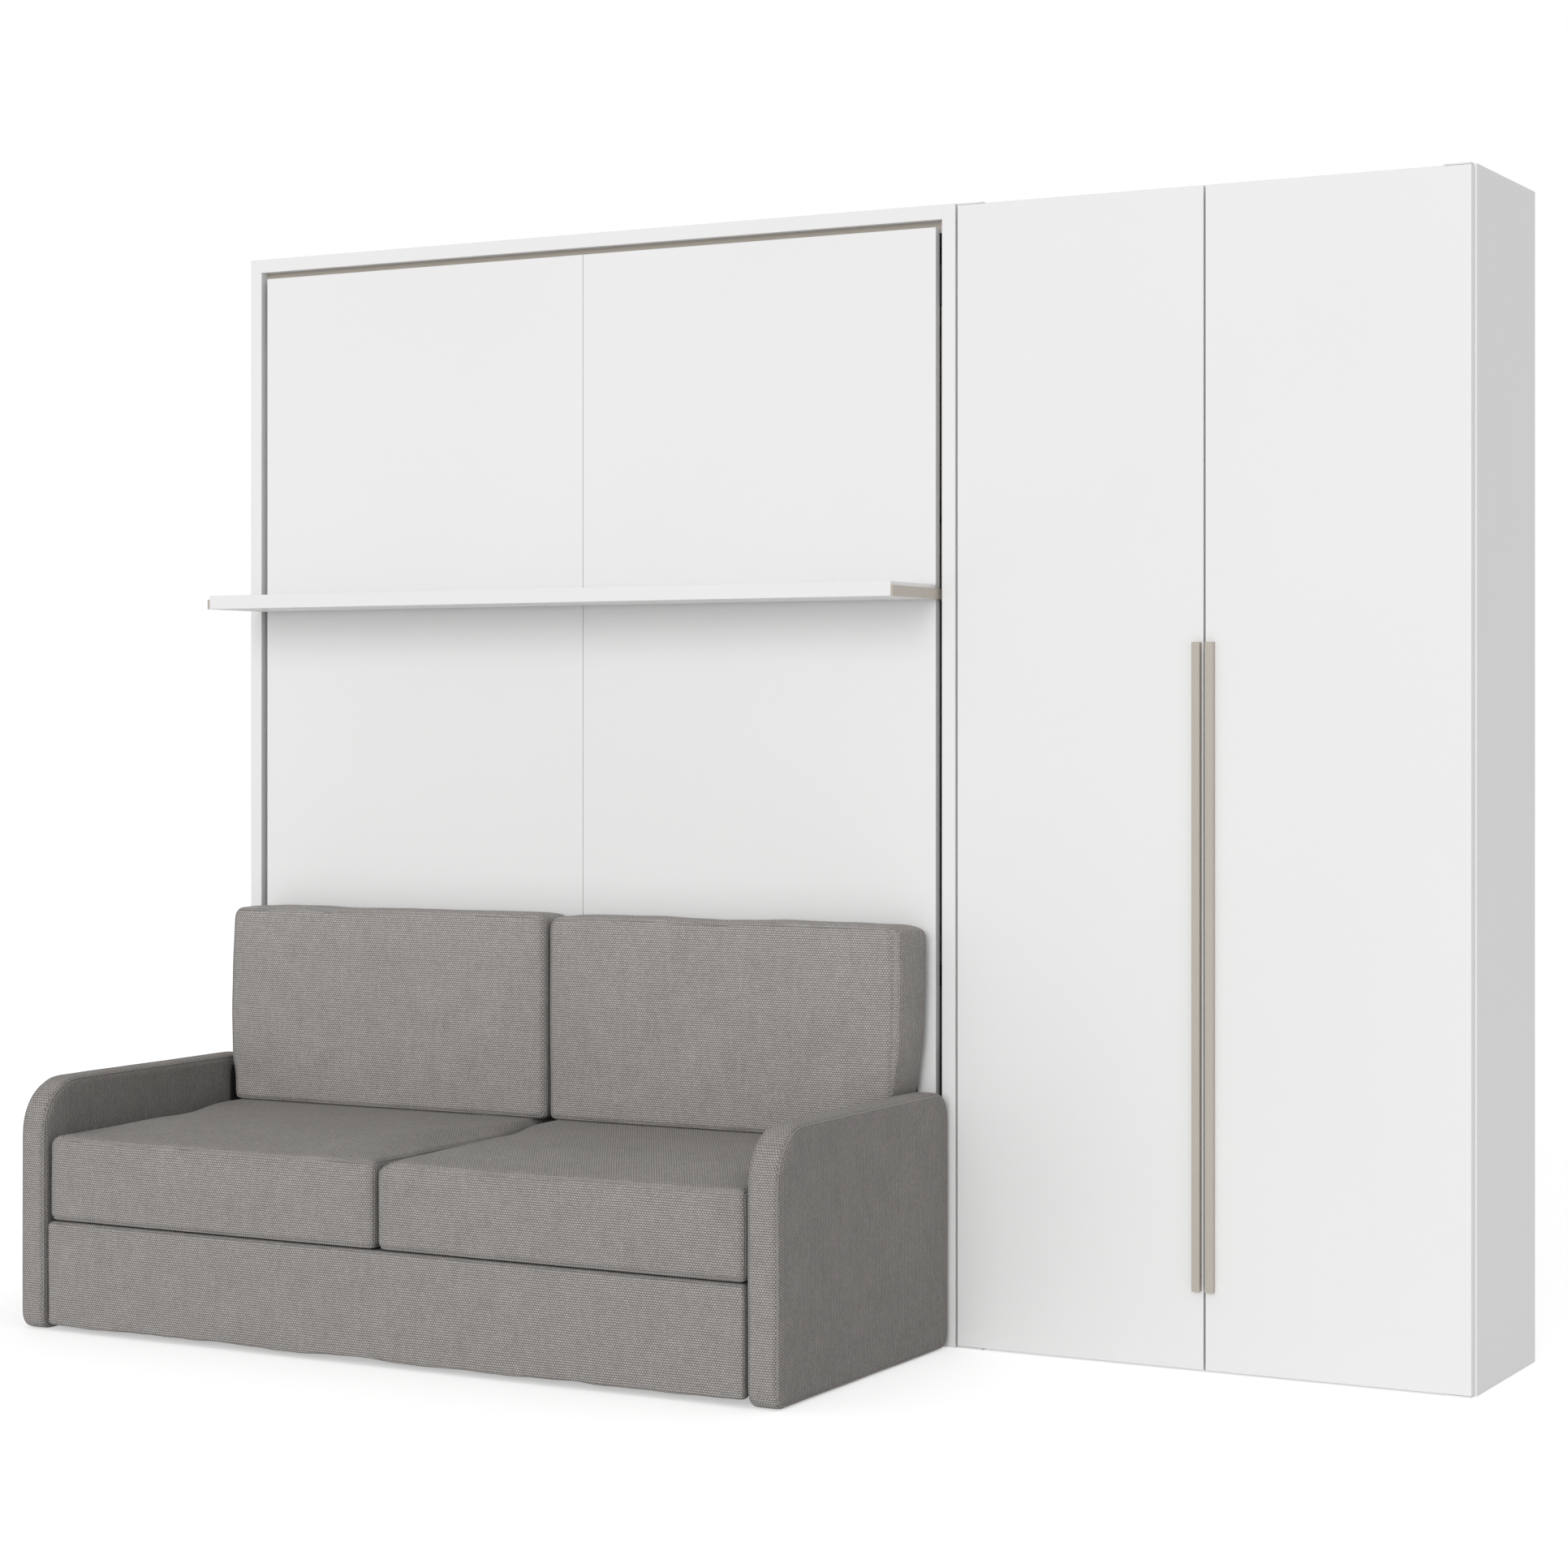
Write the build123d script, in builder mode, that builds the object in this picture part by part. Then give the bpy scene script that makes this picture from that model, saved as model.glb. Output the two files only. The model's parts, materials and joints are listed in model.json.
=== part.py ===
"""Wall bed with a sofa in front, a self-levelling shelf and a two-door wardrobe beside it.

Millimetres, +Z up. X runs along the wall, -Y points into the room.
Origin: bottom centre of the whole object. The bed is modelled closed, upright in its cabinet.
"""

import os
from math import atan2, cos, degrees, radians, sin

from build123d import *

os.makedirs("parts", exist_ok=True)

# ---- overall driving sizes ----
HEIGHT = 2180
CABINET_DEPTH = 390
SOFA_DEPTH = 690
WARDROBE_WIDTH = 1010
BED_CABINET_WIDTH = 1670
SOFA_WIDTH = 1708
SOFA_RIGHT_INSET = 6

# ---- board thicknesses ----
CABINET_BOARD = 28
CARCASS_BOARD = 18
DOOR_BOARD = 18
BACK_BOARD = 8
WARDROBE_BACK = 6
BOARD_EDGE = 0.8
STRIP_EDGE = 0.5

# ---- places worked out from the driving sizes ----
TOTAL_WIDTH = WARDROBE_WIDTH + SOFA_RIGHT_INSET + SOFA_WIDTH
WARDROBE_RIGHT = TOTAL_WIDTH / 2
WARDROBE_LEFT = WARDROBE_RIGHT - WARDROBE_WIDTH
CABINET_RIGHT = WARDROBE_LEFT
CABINET_LEFT = CABINET_RIGHT - BED_CABINET_WIDTH
INNER_RIGHT = CABINET_RIGHT - CABINET_BOARD
INNER_LEFT = CABINET_LEFT + CABINET_BOARD
BED_CENTRE = (INNER_LEFT + INNER_RIGHT) / 2
FRONT = (SOFA_DEPTH - CABINET_DEPTH) / 2
REAR = FRONT + CABINET_DEPTH
SOFA_FRONT = FRONT - SOFA_DEPTH
INNER_TOP = HEIGHT - CABINET_BOARD
CABINET_BACK_FRONT = REAR - BACK_BOARD

# ---- bed ----
TILT_Y = FRONT - 75
TILT_Z = 445
PANEL_GAP = 14
PANEL_FRONT = FRONT + 2
PANEL_REAR = PANEL_FRONT + DOOR_BOARD
PANEL_BOTTOM = 98
PANEL_TOP = 2138
PANEL_SPLIT = 1
STRIP_HEIGHT = 23
STRIP_DEPTH = 3
STRIP_SETBACK = 2
TUBE = 40
TUBE_WALL = 2
TUBE_FACE = 30
FRAME_REAR = PANEL_REAR + TUBE
FRAME_BOTTOM = 100
FRAME_TOP = 2115
RAIL_OFFSET = 38
SLAT_WIDTH = 60
SLAT_THICK = 8
SLAT_ROWS = 13
SLAT_PITCH = 145
SLAT_STANDOFF = 1
HOLDER_LENGTH = 34
HOLDER_WIDTH = 66
HOLDER_DEPTH = 9.8
MATTRESS_WIDTH = 1500
MATTRESS_THICK = 170
MATTRESS_LOW = 110
MATTRESS_HIGH = 2100
MATTRESS_EDGE = 30
MATTRESS_STANDOFF = 10
MATTRESS_FRONT = FRAME_REAR + MATTRESS_STANDOFF
MATTRESS_REAR = MATTRESS_FRONT + MATTRESS_THICK
END_BOARD_INSET = 5
END_BOARD_GAP = 1
END_BOARD_Y = (FRAME_REAR + 12, FRAME_REAR + 140)

# ---- tilt hinge ----
BRACKET_THICK = 4
BRACKET_HEIGHT = 120
BRACKET_FLANGE = 60
BRACKET_EYE = 20
BOLT_STEP_X = 15
BOLT_STEP_Z = 40
SUPPORT_THICK = 3
SUPPORT_HALF = 32
SUPPORT_CORNER = 28
SUPPORT_TOP = TILT_Z + SUPPORT_HALF
PIN_RADIUS = 8
BUSH_RADIUS = 10
RUNNING = 0.05
SCREW_RADIUS = 4
SCREW_HEAD = 7
SCREW_HEAD_THICK = 2
BOLT_HEAD_THICK = 4

# ---- shelf and its levelling linkage ----
SHELF_DEPTH = 193
SHELF_THICK = 28
SHELF_GAP = 2
SHELF_BOTTOM = 1427
ARM_OFFSET = 7.6
ARM_THICK = 5
ARM_BAR = 20
ARM_EYE = 15
SHELF_PIVOT = (FRONT + 40, 1984)
LINK_STEP = (100, 60)
LINK_TOP = (SHELF_PIVOT[0] + LINK_STEP[0], SHELF_PIVOT[1] + LINK_STEP[1])
LINK_BOTTOM = (TILT_Y + LINK_STEP[0], TILT_Z + LINK_STEP[1])
LEG_FRONT = FRONT + 25
LEG_REAR = FRONT + 55
ROD_OFFSET = 2.6
ROD_THICK = 4
ROD_HALF = 10
LINK_PIN = 5
SHELF_BOLT = 6
BOLT_COLLAR = 10
COLLAR_START = 4.1
COLLAR_GAP = 0.3

# ---- gas struts ----
STRUT_TOP = (FRONT + 110, 1050)
STRUT_FOOT = (FRONT + 90, 320)
STRUT_OFFSET = 25
CYLINDER_RADIUS = 9
CYLINDER_BORE = 7.5
CYLINDER_LENGTH = 420
STRUT_ROD = 4
PISTON_RADIUS = 7.2
PISTON_LENGTH = 12
EYE_RADIUS = 8
EYE_THICK = 8
EYE_NECK = 7
CYLINDER_CAP = 6
CYLINDER_SEAL = 5
PISTON_INSIDE = 60
STUD_RADIUS = 4
STUD_PROUD = 0.5
LUG_THICK = 4
LUG_REACH = 15
LUG_HALF = 25

# ---- wardrobe ----
DOOR_GAP = 4
DOOR_END_GAP = 3.6
DOOR_LOW = DOOR_END_GAP
DOOR_HIGH = HEIGHT - DOOR_END_GAP
CARCASS_FRONT = FRONT + 22
PIVOT_EDGE = 5
PIVOT_DEPTH = 6
PIVOT_PLATE = 2.8
PIVOT_PIN = 2.5
PIVOT_PIN_LENGTH = 25
HANDLE_WIDTH = 16
HANDLE_PROUD = 12
HANDLE_LOW = 148
HANDLE_HIGH = 1339
HANDLE_WALL = 3
HANDLE_BACK = 2
HANDLE_EDGE = 3
HANDLE_ROUND = 0.5
SHELF_LEVELS = (330, 1850)
RAIL_HEIGHT = 1770
HANGING_RADIUS = 12.5
HANGING_WALL = 1.5
SOCKET_DEPTH = 10
SOCKET_FLOOR = 3
SOCKET_WALL = 4

# ---- sofa ----
ARM_WIDTH = 70
ARM_HEIGHT = 490
SOFA_RIGHT = CABINET_RIGHT - SOFA_RIGHT_INSET
SOFA_LEFT = SOFA_RIGHT - SOFA_WIDTH
ARM_INNER_RIGHT = SOFA_RIGHT - ARM_WIDTH
ARM_INNER_LEFT = SOFA_LEFT + ARM_WIDTH
ARM_EDGE = 12
ARM_CLEARANCE = 1.5
SKIRT_FRONT = FRONT - 686
SKIRT_THICK = 26
SKIRT_LOW = 9
SKIRT_TOP = 205
SKIRT_EDGE = 7
SEAT_FRONT = FRONT - 684
SEAT_REAR = FRONT - 14
SEAT_LOW = 213
SEAT_TOP = 388
SEAT_EDGE = 22
SEAT_SPLIT_OFFSET = 3
SEAT_SPLIT = (ARM_INNER_LEFT + ARM_INNER_RIGHT) / 2 - SEAT_SPLIT_OFFSET
SEAT_GAP = 2
CUSHION_FRONT = FRONT - 122
CUSHION_REAR = FRONT - 8
CUSHION_LOW = 402
CUSHION_TOP = 801
CUSHION_EDGE = 28
CUSHION_SPLIT_OFFSET = 12
CUSHION_SPLIT = BED_CENTRE - CUSHION_SPLIT_OFFSET
DECK_THICK = 12
DECK_GAP = 1


def save(builder, label):
    """Name a finished piece and write it as its own STEP file."""
    builder.part.label = label
    export_step(builder.part, f"parts/{label}.step")


def side_x(side, offset):
    """X at a distance inward from a cabinet side's inner face. side is -1 left, +1 right."""
    return INNER_RIGHT - offset if side > 0 else INNER_LEFT + offset


def side_plane(side, offset, thickness):
    """Plane facing +X on which a plate of the given thickness is drawn and extruded."""
    return Plane.YZ.offset(min(side_x(side, offset), side_x(side, offset + thickness)))


def block(x, y, z):
    """Add a box between three (low, high) pairs to the part being built."""
    centre = (sum(x) / 2, sum(y) / 2, sum(z) / 2)
    with Locations(centre):
        Box(x[1] - x[0], y[1] - y[0], z[1] - z[0])


def cut_block(x, y, z):
    """Cut a box between three (low, high) pairs from the part being built."""
    centre = (sum(x) / 2, sum(y) / 2, sum(z) / 2)
    with Locations(centre):
        Box(x[1] - x[0], y[1] - y[0], z[1] - z[0], mode=Mode.SUBTRACT)


def bar_x(low, high, y, z, radius, mode=Mode.ADD):
    """Round bar, or round hole, along X."""
    with Locations(((low + high) / 2, y, z)):
        Cylinder(radius, high - low, rotation=(0, 90, 0), mode=mode)


def bar_y(x, low, high, z, radius, mode=Mode.ADD):
    """Round bar, or round hole, along Y."""
    with Locations((x, (low + high) / 2, z)):
        Cylinder(radius, high - low, rotation=(90, 0, 0), mode=mode)


def board(label, x, y, z, edge=BOARD_EDGE):
    """Plain board with softly rounded edges."""
    with BuildPart() as piece:
        block(x, y, z)
        if edge:
            fillet(piece.edges(), edge)
    save(piece, label)


# ---- bed cabinet ----
WALL_HOLE = 4
WALL_SPACING = 1200
WALL_RAIL_HEIGHT = 100
WALL_RAIL_DEPTH = 18
LOWER_RAIL = (20, 120)
UPPER_RAIL = (INNER_TOP - WALL_RAIL_HEIGHT, INNER_TOP)
BASE_RAIL_HEIGHT = 80
BASE_RAIL_SETBACK = 4


def cabinet_sides():
    board("cabinet_side_left", (CABINET_LEFT, INNER_LEFT), (FRONT, REAR), (0, HEIGHT))
    board("cabinet_side_right", (INNER_RIGHT, CABINET_RIGHT), (FRONT, REAR), (0, HEIGHT))


def wall_rail(label, z):
    """Rail that the cabinet is screwed to the wall through."""
    y = (CABINET_BACK_FRONT - WALL_RAIL_DEPTH, CABINET_BACK_FRONT)
    with BuildPart() as rail:
        block((INNER_LEFT, INNER_RIGHT), y, z)
        for step in (-1, 1):
            x = BED_CENTRE + step * WALL_SPACING / 2
            bar_y(x, *y, sum(z) / 2, WALL_HOLE, Mode.SUBTRACT)
    save(rail, label)


def cabinet_back():
    with BuildPart() as panel:
        block((INNER_LEFT, INNER_RIGHT), (CABINET_BACK_FRONT, REAR), (0, INNER_TOP))
        for z in (LOWER_RAIL, UPPER_RAIL):
            for step in (-1, 1):
                x = BED_CENTRE + step * WALL_SPACING / 2
                bar_y(x, CABINET_BACK_FRONT, REAR, sum(z) / 2, WALL_HOLE, Mode.SUBTRACT)
    save(panel, "cabinet_back_panel")


def cabinet():
    cabinet_sides()
    inner = (INNER_LEFT, INNER_RIGHT)
    board("cabinet_top_panel", inner, (FRONT, REAR), (INNER_TOP, HEIGHT))
    strip_front = PANEL_REAR + STRIP_SETBACK
    strip = (strip_front, strip_front + STRIP_DEPTH)
    board("top_strip", inner, strip, (INNER_TOP - STRIP_HEIGHT, INNER_TOP), STRIP_EDGE)
    cabinet_back()
    wall_rail("wall_rail_upper", UPPER_RAIL)
    wall_rail("wall_rail_lower", LOWER_RAIL)
    base_front = FRONT + BASE_RAIL_SETBACK
    board("base_rail", inner, (base_front, base_front + CARCASS_BOARD), (0, BASE_RAIL_HEIGHT))


# ---- fixed hinge hardware ----
PLATE_THICK = 2
PLATE_Y = (FRONT + 5, FRONT + 150)
PLATE_HEIGHT = 110
PLATE_RISE = 10
PLATE_CORNER = 12
ANCHOR_WIDTH = 60
ANCHOR_HEIGHT = 120
ANCHOR_CORNER = 10


def mechanism_plates():
    """Steel plates on the cabinet sides, each with the levelling rod's lower pin."""
    y, z = LINK_BOTTOM
    with BuildPart() as plates:
        for side in (-1, 1):
            with BuildSketch(side_plane(side, 0, PLATE_THICK)):
                with Locations((sum(PLATE_Y) / 2, z + PLATE_RISE)):
                    RectangleRounded(PLATE_Y[1] - PLATE_Y[0], PLATE_HEIGHT, PLATE_CORNER)
            extrude(amount=PLATE_THICK)
            ends = sorted((side_x(side, PLATE_THICK), side_x(side, ROD_OFFSET + ROD_THICK)))
            bar_x(*ends, y, z, LINK_PIN)
    save(plates, "mechanism_plates")


def strut_anchors():
    """Plates and pins on the cabinet sides that the gas struts hang from."""
    y, z = STRUT_TOP
    with BuildPart() as anchors:
        for side in (-1, 1):
            with BuildSketch(side_plane(side, 0, PLATE_THICK)):
                with Locations((y, z)):
                    RectangleRounded(ANCHOR_WIDTH, ANCHOR_HEIGHT, ANCHOR_CORNER)
            extrude(amount=PLATE_THICK)
            ends = sorted((side_x(side, PLATE_THICK), side_x(side, STRUT_OFFSET + EYE_THICK / 2)))
            bar_x(*ends, y, z, STUD_RADIUS)
    save(anchors, "strut_anchors")


# The sofa stands a little to the left of the bed, so the two hinge stacks differ.
# Each support stands against its arm. The left bracket leaves room for the levelling rod
# that swings down between it and the support.
SUPPORT_GAP = 0.5
WEB_GAP = 1
ROD_GAP = 0.6
SUPPORT_LEFT_START = ARM_INNER_LEFT + SUPPORT_GAP
SUPPORT_LEFT = (SUPPORT_LEFT_START, SUPPORT_LEFT_START + SUPPORT_THICK)
SUPPORT_RIGHT_END = ARM_INNER_RIGHT - SUPPORT_GAP
SUPPORT_RIGHT = (SUPPORT_RIGHT_END - SUPPORT_THICK, SUPPORT_RIGHT_END)
WEB_LEFT_OFFSET = ROD_OFFSET + ROD_THICK + ROD_GAP
WEB_LEFT = (INNER_LEFT + WEB_LEFT_OFFSET, INNER_LEFT + WEB_LEFT_OFFSET + BRACKET_THICK)
WEB_RIGHT = (SUPPORT_RIGHT[0] - WEB_GAP - BRACKET_THICK, SUPPORT_RIGHT[0] - WEB_GAP)
PIN_PROUD = 1
LOWER_SCREW_STEP = 18
LOWER_SCREW_Z = 60
UPPER_SCREW_Z = 300
SCREW_PLACES = (
    (TILT_Y - LOWER_SCREW_STEP, LOWER_SCREW_Z),
    (TILT_Y + LOWER_SCREW_STEP, LOWER_SCREW_Z),
    (TILT_Y, UPPER_SCREW_Z),
)
SCREW_LENGTH = 38


def pivot_supports():
    """Floor-standing steel plates that carry the tilt pins."""
    with BuildPart() as supports:
        for x in (SUPPORT_LEFT, SUPPORT_RIGHT):
            with BuildSketch(Plane.YZ.offset(x[0])):
                with Locations((TILT_Y, SUPPORT_TOP / 2)):
                    Rectangle(2 * SUPPORT_HALF, SUPPORT_TOP)
                with Locations((TILT_Y, TILT_Z)):
                    Circle(PIN_RADIUS, mode=Mode.SUBTRACT)
                with Locations(*SCREW_PLACES):
                    Circle(SCREW_RADIUS, mode=Mode.SUBTRACT)
            extrude(amount=SUPPORT_THICK)
        upper = supports.edges().filter_by(Axis.X).group_by(Axis.Z)[-1]
        fillet(upper, SUPPORT_CORNER)
    save(supports, "pivot_supports")


def pivot_pins():
    with BuildPart() as pins:
        bar_x(SUPPORT_LEFT[0], WEB_LEFT[1] + PIN_PROUD, TILT_Y, TILT_Z, PIN_RADIUS)
        bar_x(WEB_RIGHT[0] - PIN_PROUD, SUPPORT_RIGHT[1], TILT_Y, TILT_Z, PIN_RADIUS)
    save(pins, "pivot_pins")


def support_screws():
    """Screws that fix each support plate to the frame inside the sofa arm."""
    left, right = SUPPORT_LEFT[1], SUPPORT_RIGHT[0]
    with BuildPart() as screws:
        for y, z in SCREW_PLACES:
            bar_x(left - SCREW_LENGTH, left, y, z, SCREW_RADIUS)
            bar_x(left, left + SCREW_HEAD_THICK, y, z, SCREW_HEAD)
            bar_x(right, right + SCREW_LENGTH, y, z, SCREW_RADIUS)
            bar_x(right - SCREW_HEAD_THICK, right, y, z, SCREW_HEAD)
    save(screws, "support_screws")


# ---- bed frame ----
RAIL_X = {
    -1: (INNER_LEFT + RAIL_OFFSET, INNER_LEFT + RAIL_OFFSET + TUBE_FACE),
    1: (INNER_RIGHT - RAIL_OFFSET - TUBE_FACE, INNER_RIGHT - RAIL_OFFSET),
}
BRACKET_Z = (TILT_Z - BRACKET_HEIGHT / 2, TILT_Z + BRACKET_HEIGHT / 2)


def bracket_bolt_places(side):
    """Centres (x, z) of the four bolts of a bracket's flange."""
    centre = WEB_LEFT[1] + BRACKET_FLANGE / 2 if side < 0 else WEB_RIGHT[0] - BRACKET_FLANGE / 2
    columns = (centre - BOLT_STEP_X, centre + BOLT_STEP_X)
    rows = (TILT_Z - BOLT_STEP_Z, TILT_Z + BOLT_STEP_Z)
    return [(x, z) for x in columns for z in rows]


def front_panel(label, x, side):
    with BuildPart() as panel:
        block(x, (PANEL_FRONT, PANEL_REAR), (PANEL_BOTTOM, PANEL_TOP))
        fillet(panel.edges(), BOARD_EDGE)
        for bolt_x, bolt_z in bracket_bolt_places(side):
            bar_y(bolt_x, PANEL_FRONT, PANEL_REAR, bolt_z, SCREW_RADIUS, Mode.SUBTRACT)
    save(panel, label)


def bed_brackets():
    """Steel brackets: a web that turns on the pin and a flange bolted to the panel."""
    flange_y = (PANEL_FRONT - BRACKET_THICK, PANEL_FRONT)
    with BuildPart() as brackets:
        for side, web in ((-1, WEB_LEFT), (1, WEB_RIGHT)):
            with BuildSketch(Plane.YZ.offset(web[0])):
                with Locations((TILT_Y, TILT_Z)):
                    Circle(BRACKET_EYE)
                with Locations((sum(flange_y) / 2, TILT_Z)):
                    Rectangle(BRACKET_THICK, BRACKET_HEIGHT)
                make_hull()
                with Locations((TILT_Y, TILT_Z)):
                    Circle(BUSH_RADIUS, mode=Mode.SUBTRACT)
            extrude(amount=BRACKET_THICK)
            inner = web[1] if side < 0 else web[0]
            block(sorted((inner, inner - side * BRACKET_FLANGE)), flange_y, BRACKET_Z)
            for bolt_x, bolt_z in bracket_bolt_places(side):
                bar_y(bolt_x, *flange_y, bolt_z, SCREW_RADIUS, Mode.SUBTRACT)
    save(brackets, "bed_brackets")


def pivot_bushes():
    with BuildPart() as bushes:
        for web in (WEB_LEFT, WEB_RIGHT):
            bar_x(*web, TILT_Y, TILT_Z, BUSH_RADIUS)
            bar_x(*web, TILT_Y, TILT_Z, PIN_RADIUS + RUNNING, Mode.SUBTRACT)
    save(bushes, "pivot_bushes")


def bracket_bolts():
    flange_front = PANEL_FRONT - BRACKET_THICK
    head_y = (flange_front - BOLT_HEAD_THICK, flange_front)
    with BuildPart() as bolts:
        for side in (-1, 1):
            for bolt_x, bolt_z in bracket_bolt_places(side):
                bar_y(bolt_x, flange_front, PANEL_REAR, bolt_z, SCREW_RADIUS)
                bar_y(bolt_x, *head_y, bolt_z, SCREW_HEAD)
    save(bolts, "bracket_bolts")


def tube_along_z(x, y, z):
    block(x, y, z)
    wall = TUBE_WALL
    cut_block((x[0] + wall, x[1] - wall), (y[0] + wall, y[1] - wall), z)


def side_rails():
    """Upright steel tubes, with the studs that the gas struts push on."""
    y, z = STRUT_FOOT
    rail_y = (PANEL_REAR, FRAME_REAR)
    with BuildPart() as rails:
        for side in (-1, 1):
            x = RAIL_X[side]
            tube_along_z(x, rail_y, (FRAME_BOTTOM, FRAME_TOP))
            outer = x[0] if side < 0 else x[1]
            inner = outer - side * TUBE_WALL
            bar_x(*sorted((outer, inner)), *SHELF_PIVOT, SHELF_BOLT, Mode.SUBTRACT)
            lug = sorted((outer, outer - side * LUG_THICK))
            block(lug, (FRAME_REAR, y + LUG_REACH), (z - LUG_HALF, z + LUG_HALF))
            stud_end = side_x(side, STRUT_OFFSET + EYE_THICK / 2 + STUD_PROUD)
            bar_x(*sorted((outer, stud_end)), y, z, STUD_RADIUS)
    save(rails, "bed_side_rails")


def end_rails():
    x = (RAIL_X[-1][1], RAIL_X[1][0])
    with BuildPart() as rails:
        for low in (FRAME_BOTTOM, FRAME_TOP - TUBE_FACE):
            z = (low, low + TUBE_FACE)
            block(x, (PANEL_REAR, FRAME_REAR), z)
            wall = TUBE_WALL
            cut_block(x, (PANEL_REAR + wall, FRAME_REAR - wall), (z[0] + wall, z[1] - wall))
    save(rails, "bed_end_rails")


def centre_beam():
    half = TUBE_FACE / 2
    with BuildPart() as beam:
        tube_along_z(
            (BED_CENTRE - half, BED_CENTRE + half),
            (PANEL_REAR, FRAME_REAR),
            (FRAME_BOTTOM + TUBE_FACE, FRAME_TOP - TUBE_FACE),
        )
    save(beam, "bed_centre_beam")


SLAT_Z = (FRAME_BOTTOM + FRAME_TOP) / 2
SLAT_LEVELS = [SLAT_Z + SLAT_PITCH * (row - SLAT_ROWS // 2) for row in range(SLAT_ROWS)]
SLAT_FRONT = FRAME_REAR + SLAT_STANDOFF
HOLDER_INSET = 2
HOLDER_OUTER = MATTRESS_WIDTH / 2 - HOLDER_INSET
HOLDER_POCKET = 6
HOLDER_LIP = 6


def slats():
    """Sprung wooden slats, each held in the sockets of its two holders."""
    low = HOLDER_LENGTH / 2 - HOLDER_POCKET
    length = HOLDER_OUTER - HOLDER_LIP - low
    centre = low + length / 2
    with BuildPart() as wood:
        for side in (-1, 1):
            x = BED_CENTRE + side * centre
            with Locations(*[(x, SLAT_FRONT + SLAT_THICK / 2, z) for z in SLAT_LEVELS]):
                Box(length, SLAT_THICK, SLAT_WIDTH)
    save(wood, "slats")


def slat_holders():
    """Moulded end caps: one row down the centre beam and one row on each side rail."""
    inner = HOLDER_LENGTH / 2
    slat_end = inner - HOLDER_POCKET
    half = HOLDER_WIDTH / 2
    holder_y = (FRAME_REAR, FRAME_REAR + HOLDER_DEPTH)
    slat_y = (SLAT_FRONT, SLAT_FRONT + SLAT_THICK)
    with BuildPart() as holders:
        for z in SLAT_LEVELS:
            slot_z = (z - SLAT_WIDTH / 2, z + SLAT_WIDTH / 2)
            block((BED_CENTRE - inner, BED_CENTRE + inner), holder_y, (z - half, z + half))
            for side in (-1, 1):
                pocket = sorted((BED_CENTRE + side * slat_end, BED_CENTRE + side * (inner + 1)))
                cut_block(pocket, slat_y, slot_z)
                near = BED_CENTRE + side * (HOLDER_OUTER - HOLDER_LENGTH)
                far = BED_CENTRE + side * HOLDER_OUTER
                block(sorted((near, far)), holder_y, (z - half, z + half))
                cut_block(sorted((near - side, far - side * HOLDER_LIP)), slat_y, slot_z)
    save(holders, "slat_holders")


def mattress():
    half = MATTRESS_WIDTH / 2
    with BuildPart() as pad:
        block(
            (BED_CENTRE - half, BED_CENTRE + half),
            (MATTRESS_FRONT, MATTRESS_REAR),
            (MATTRESS_LOW, MATTRESS_HIGH),
        )
        fillet(pad.edges(), MATTRESS_EDGE)
    save(pad, "mattress")


STRAP_LEVELS = (700, 1600)
STRAP_WIDTH = 40
STRAP_THICK = 1.5
STRAP_SLACK = 0.5


def mattress_straps():
    """Webbing across the mattress that holds it while the bed stands upright."""
    half = MATTRESS_WIDTH / 2 + STRAP_SLACK
    with BuildPart() as straps:
        for z in STRAP_LEVELS:
            span = (z - STRAP_WIDTH / 2, z + STRAP_WIDTH / 2)
            outer = half + STRAP_THICK
            rear = MATTRESS_REAR + STRAP_SLACK
            block((BED_CENTRE - outer, BED_CENTRE + outer), (FRAME_REAR, rear + STRAP_THICK), span)
            cut_block((BED_CENTRE - half, BED_CENTRE + half), (FRAME_REAR - 1, rear), span)
    save(straps, "mattress_straps")


def bed():
    edge = PANEL_GAP
    left = (INNER_LEFT + edge, BED_CENTRE - PANEL_SPLIT / 2)
    right = (BED_CENTRE + PANEL_SPLIT / 2, INNER_RIGHT - edge)
    front_panel("bed_front_panel_left", left, -1)
    front_panel("bed_front_panel_right", right, 1)
    bed_brackets()
    pivot_bushes()
    bracket_bolts()
    side_rails()
    end_rails()
    centre_beam()
    slats()
    slat_holders()
    mattress()
    mattress_straps()
    half = MATTRESS_WIDTH / 2 - END_BOARD_INSET
    end_x = (BED_CENTRE - half, BED_CENTRE + half)
    board("lower_end_board", end_x, END_BOARD_Y, (PANEL_BOTTOM, MATTRESS_LOW - END_BOARD_GAP))


# ---- shelf and levelling rods ----
def shelf_board():
    x = (side_x(-1, ARM_OFFSET + ARM_THICK), side_x(1, ARM_OFFSET + ARM_THICK))
    y = (FRONT - SHELF_DEPTH, FRONT - SHELF_GAP)
    board("shelf_board", x, y, (SHELF_BOTTOM, SHELF_BOTTOM + SHELF_THICK))


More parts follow.
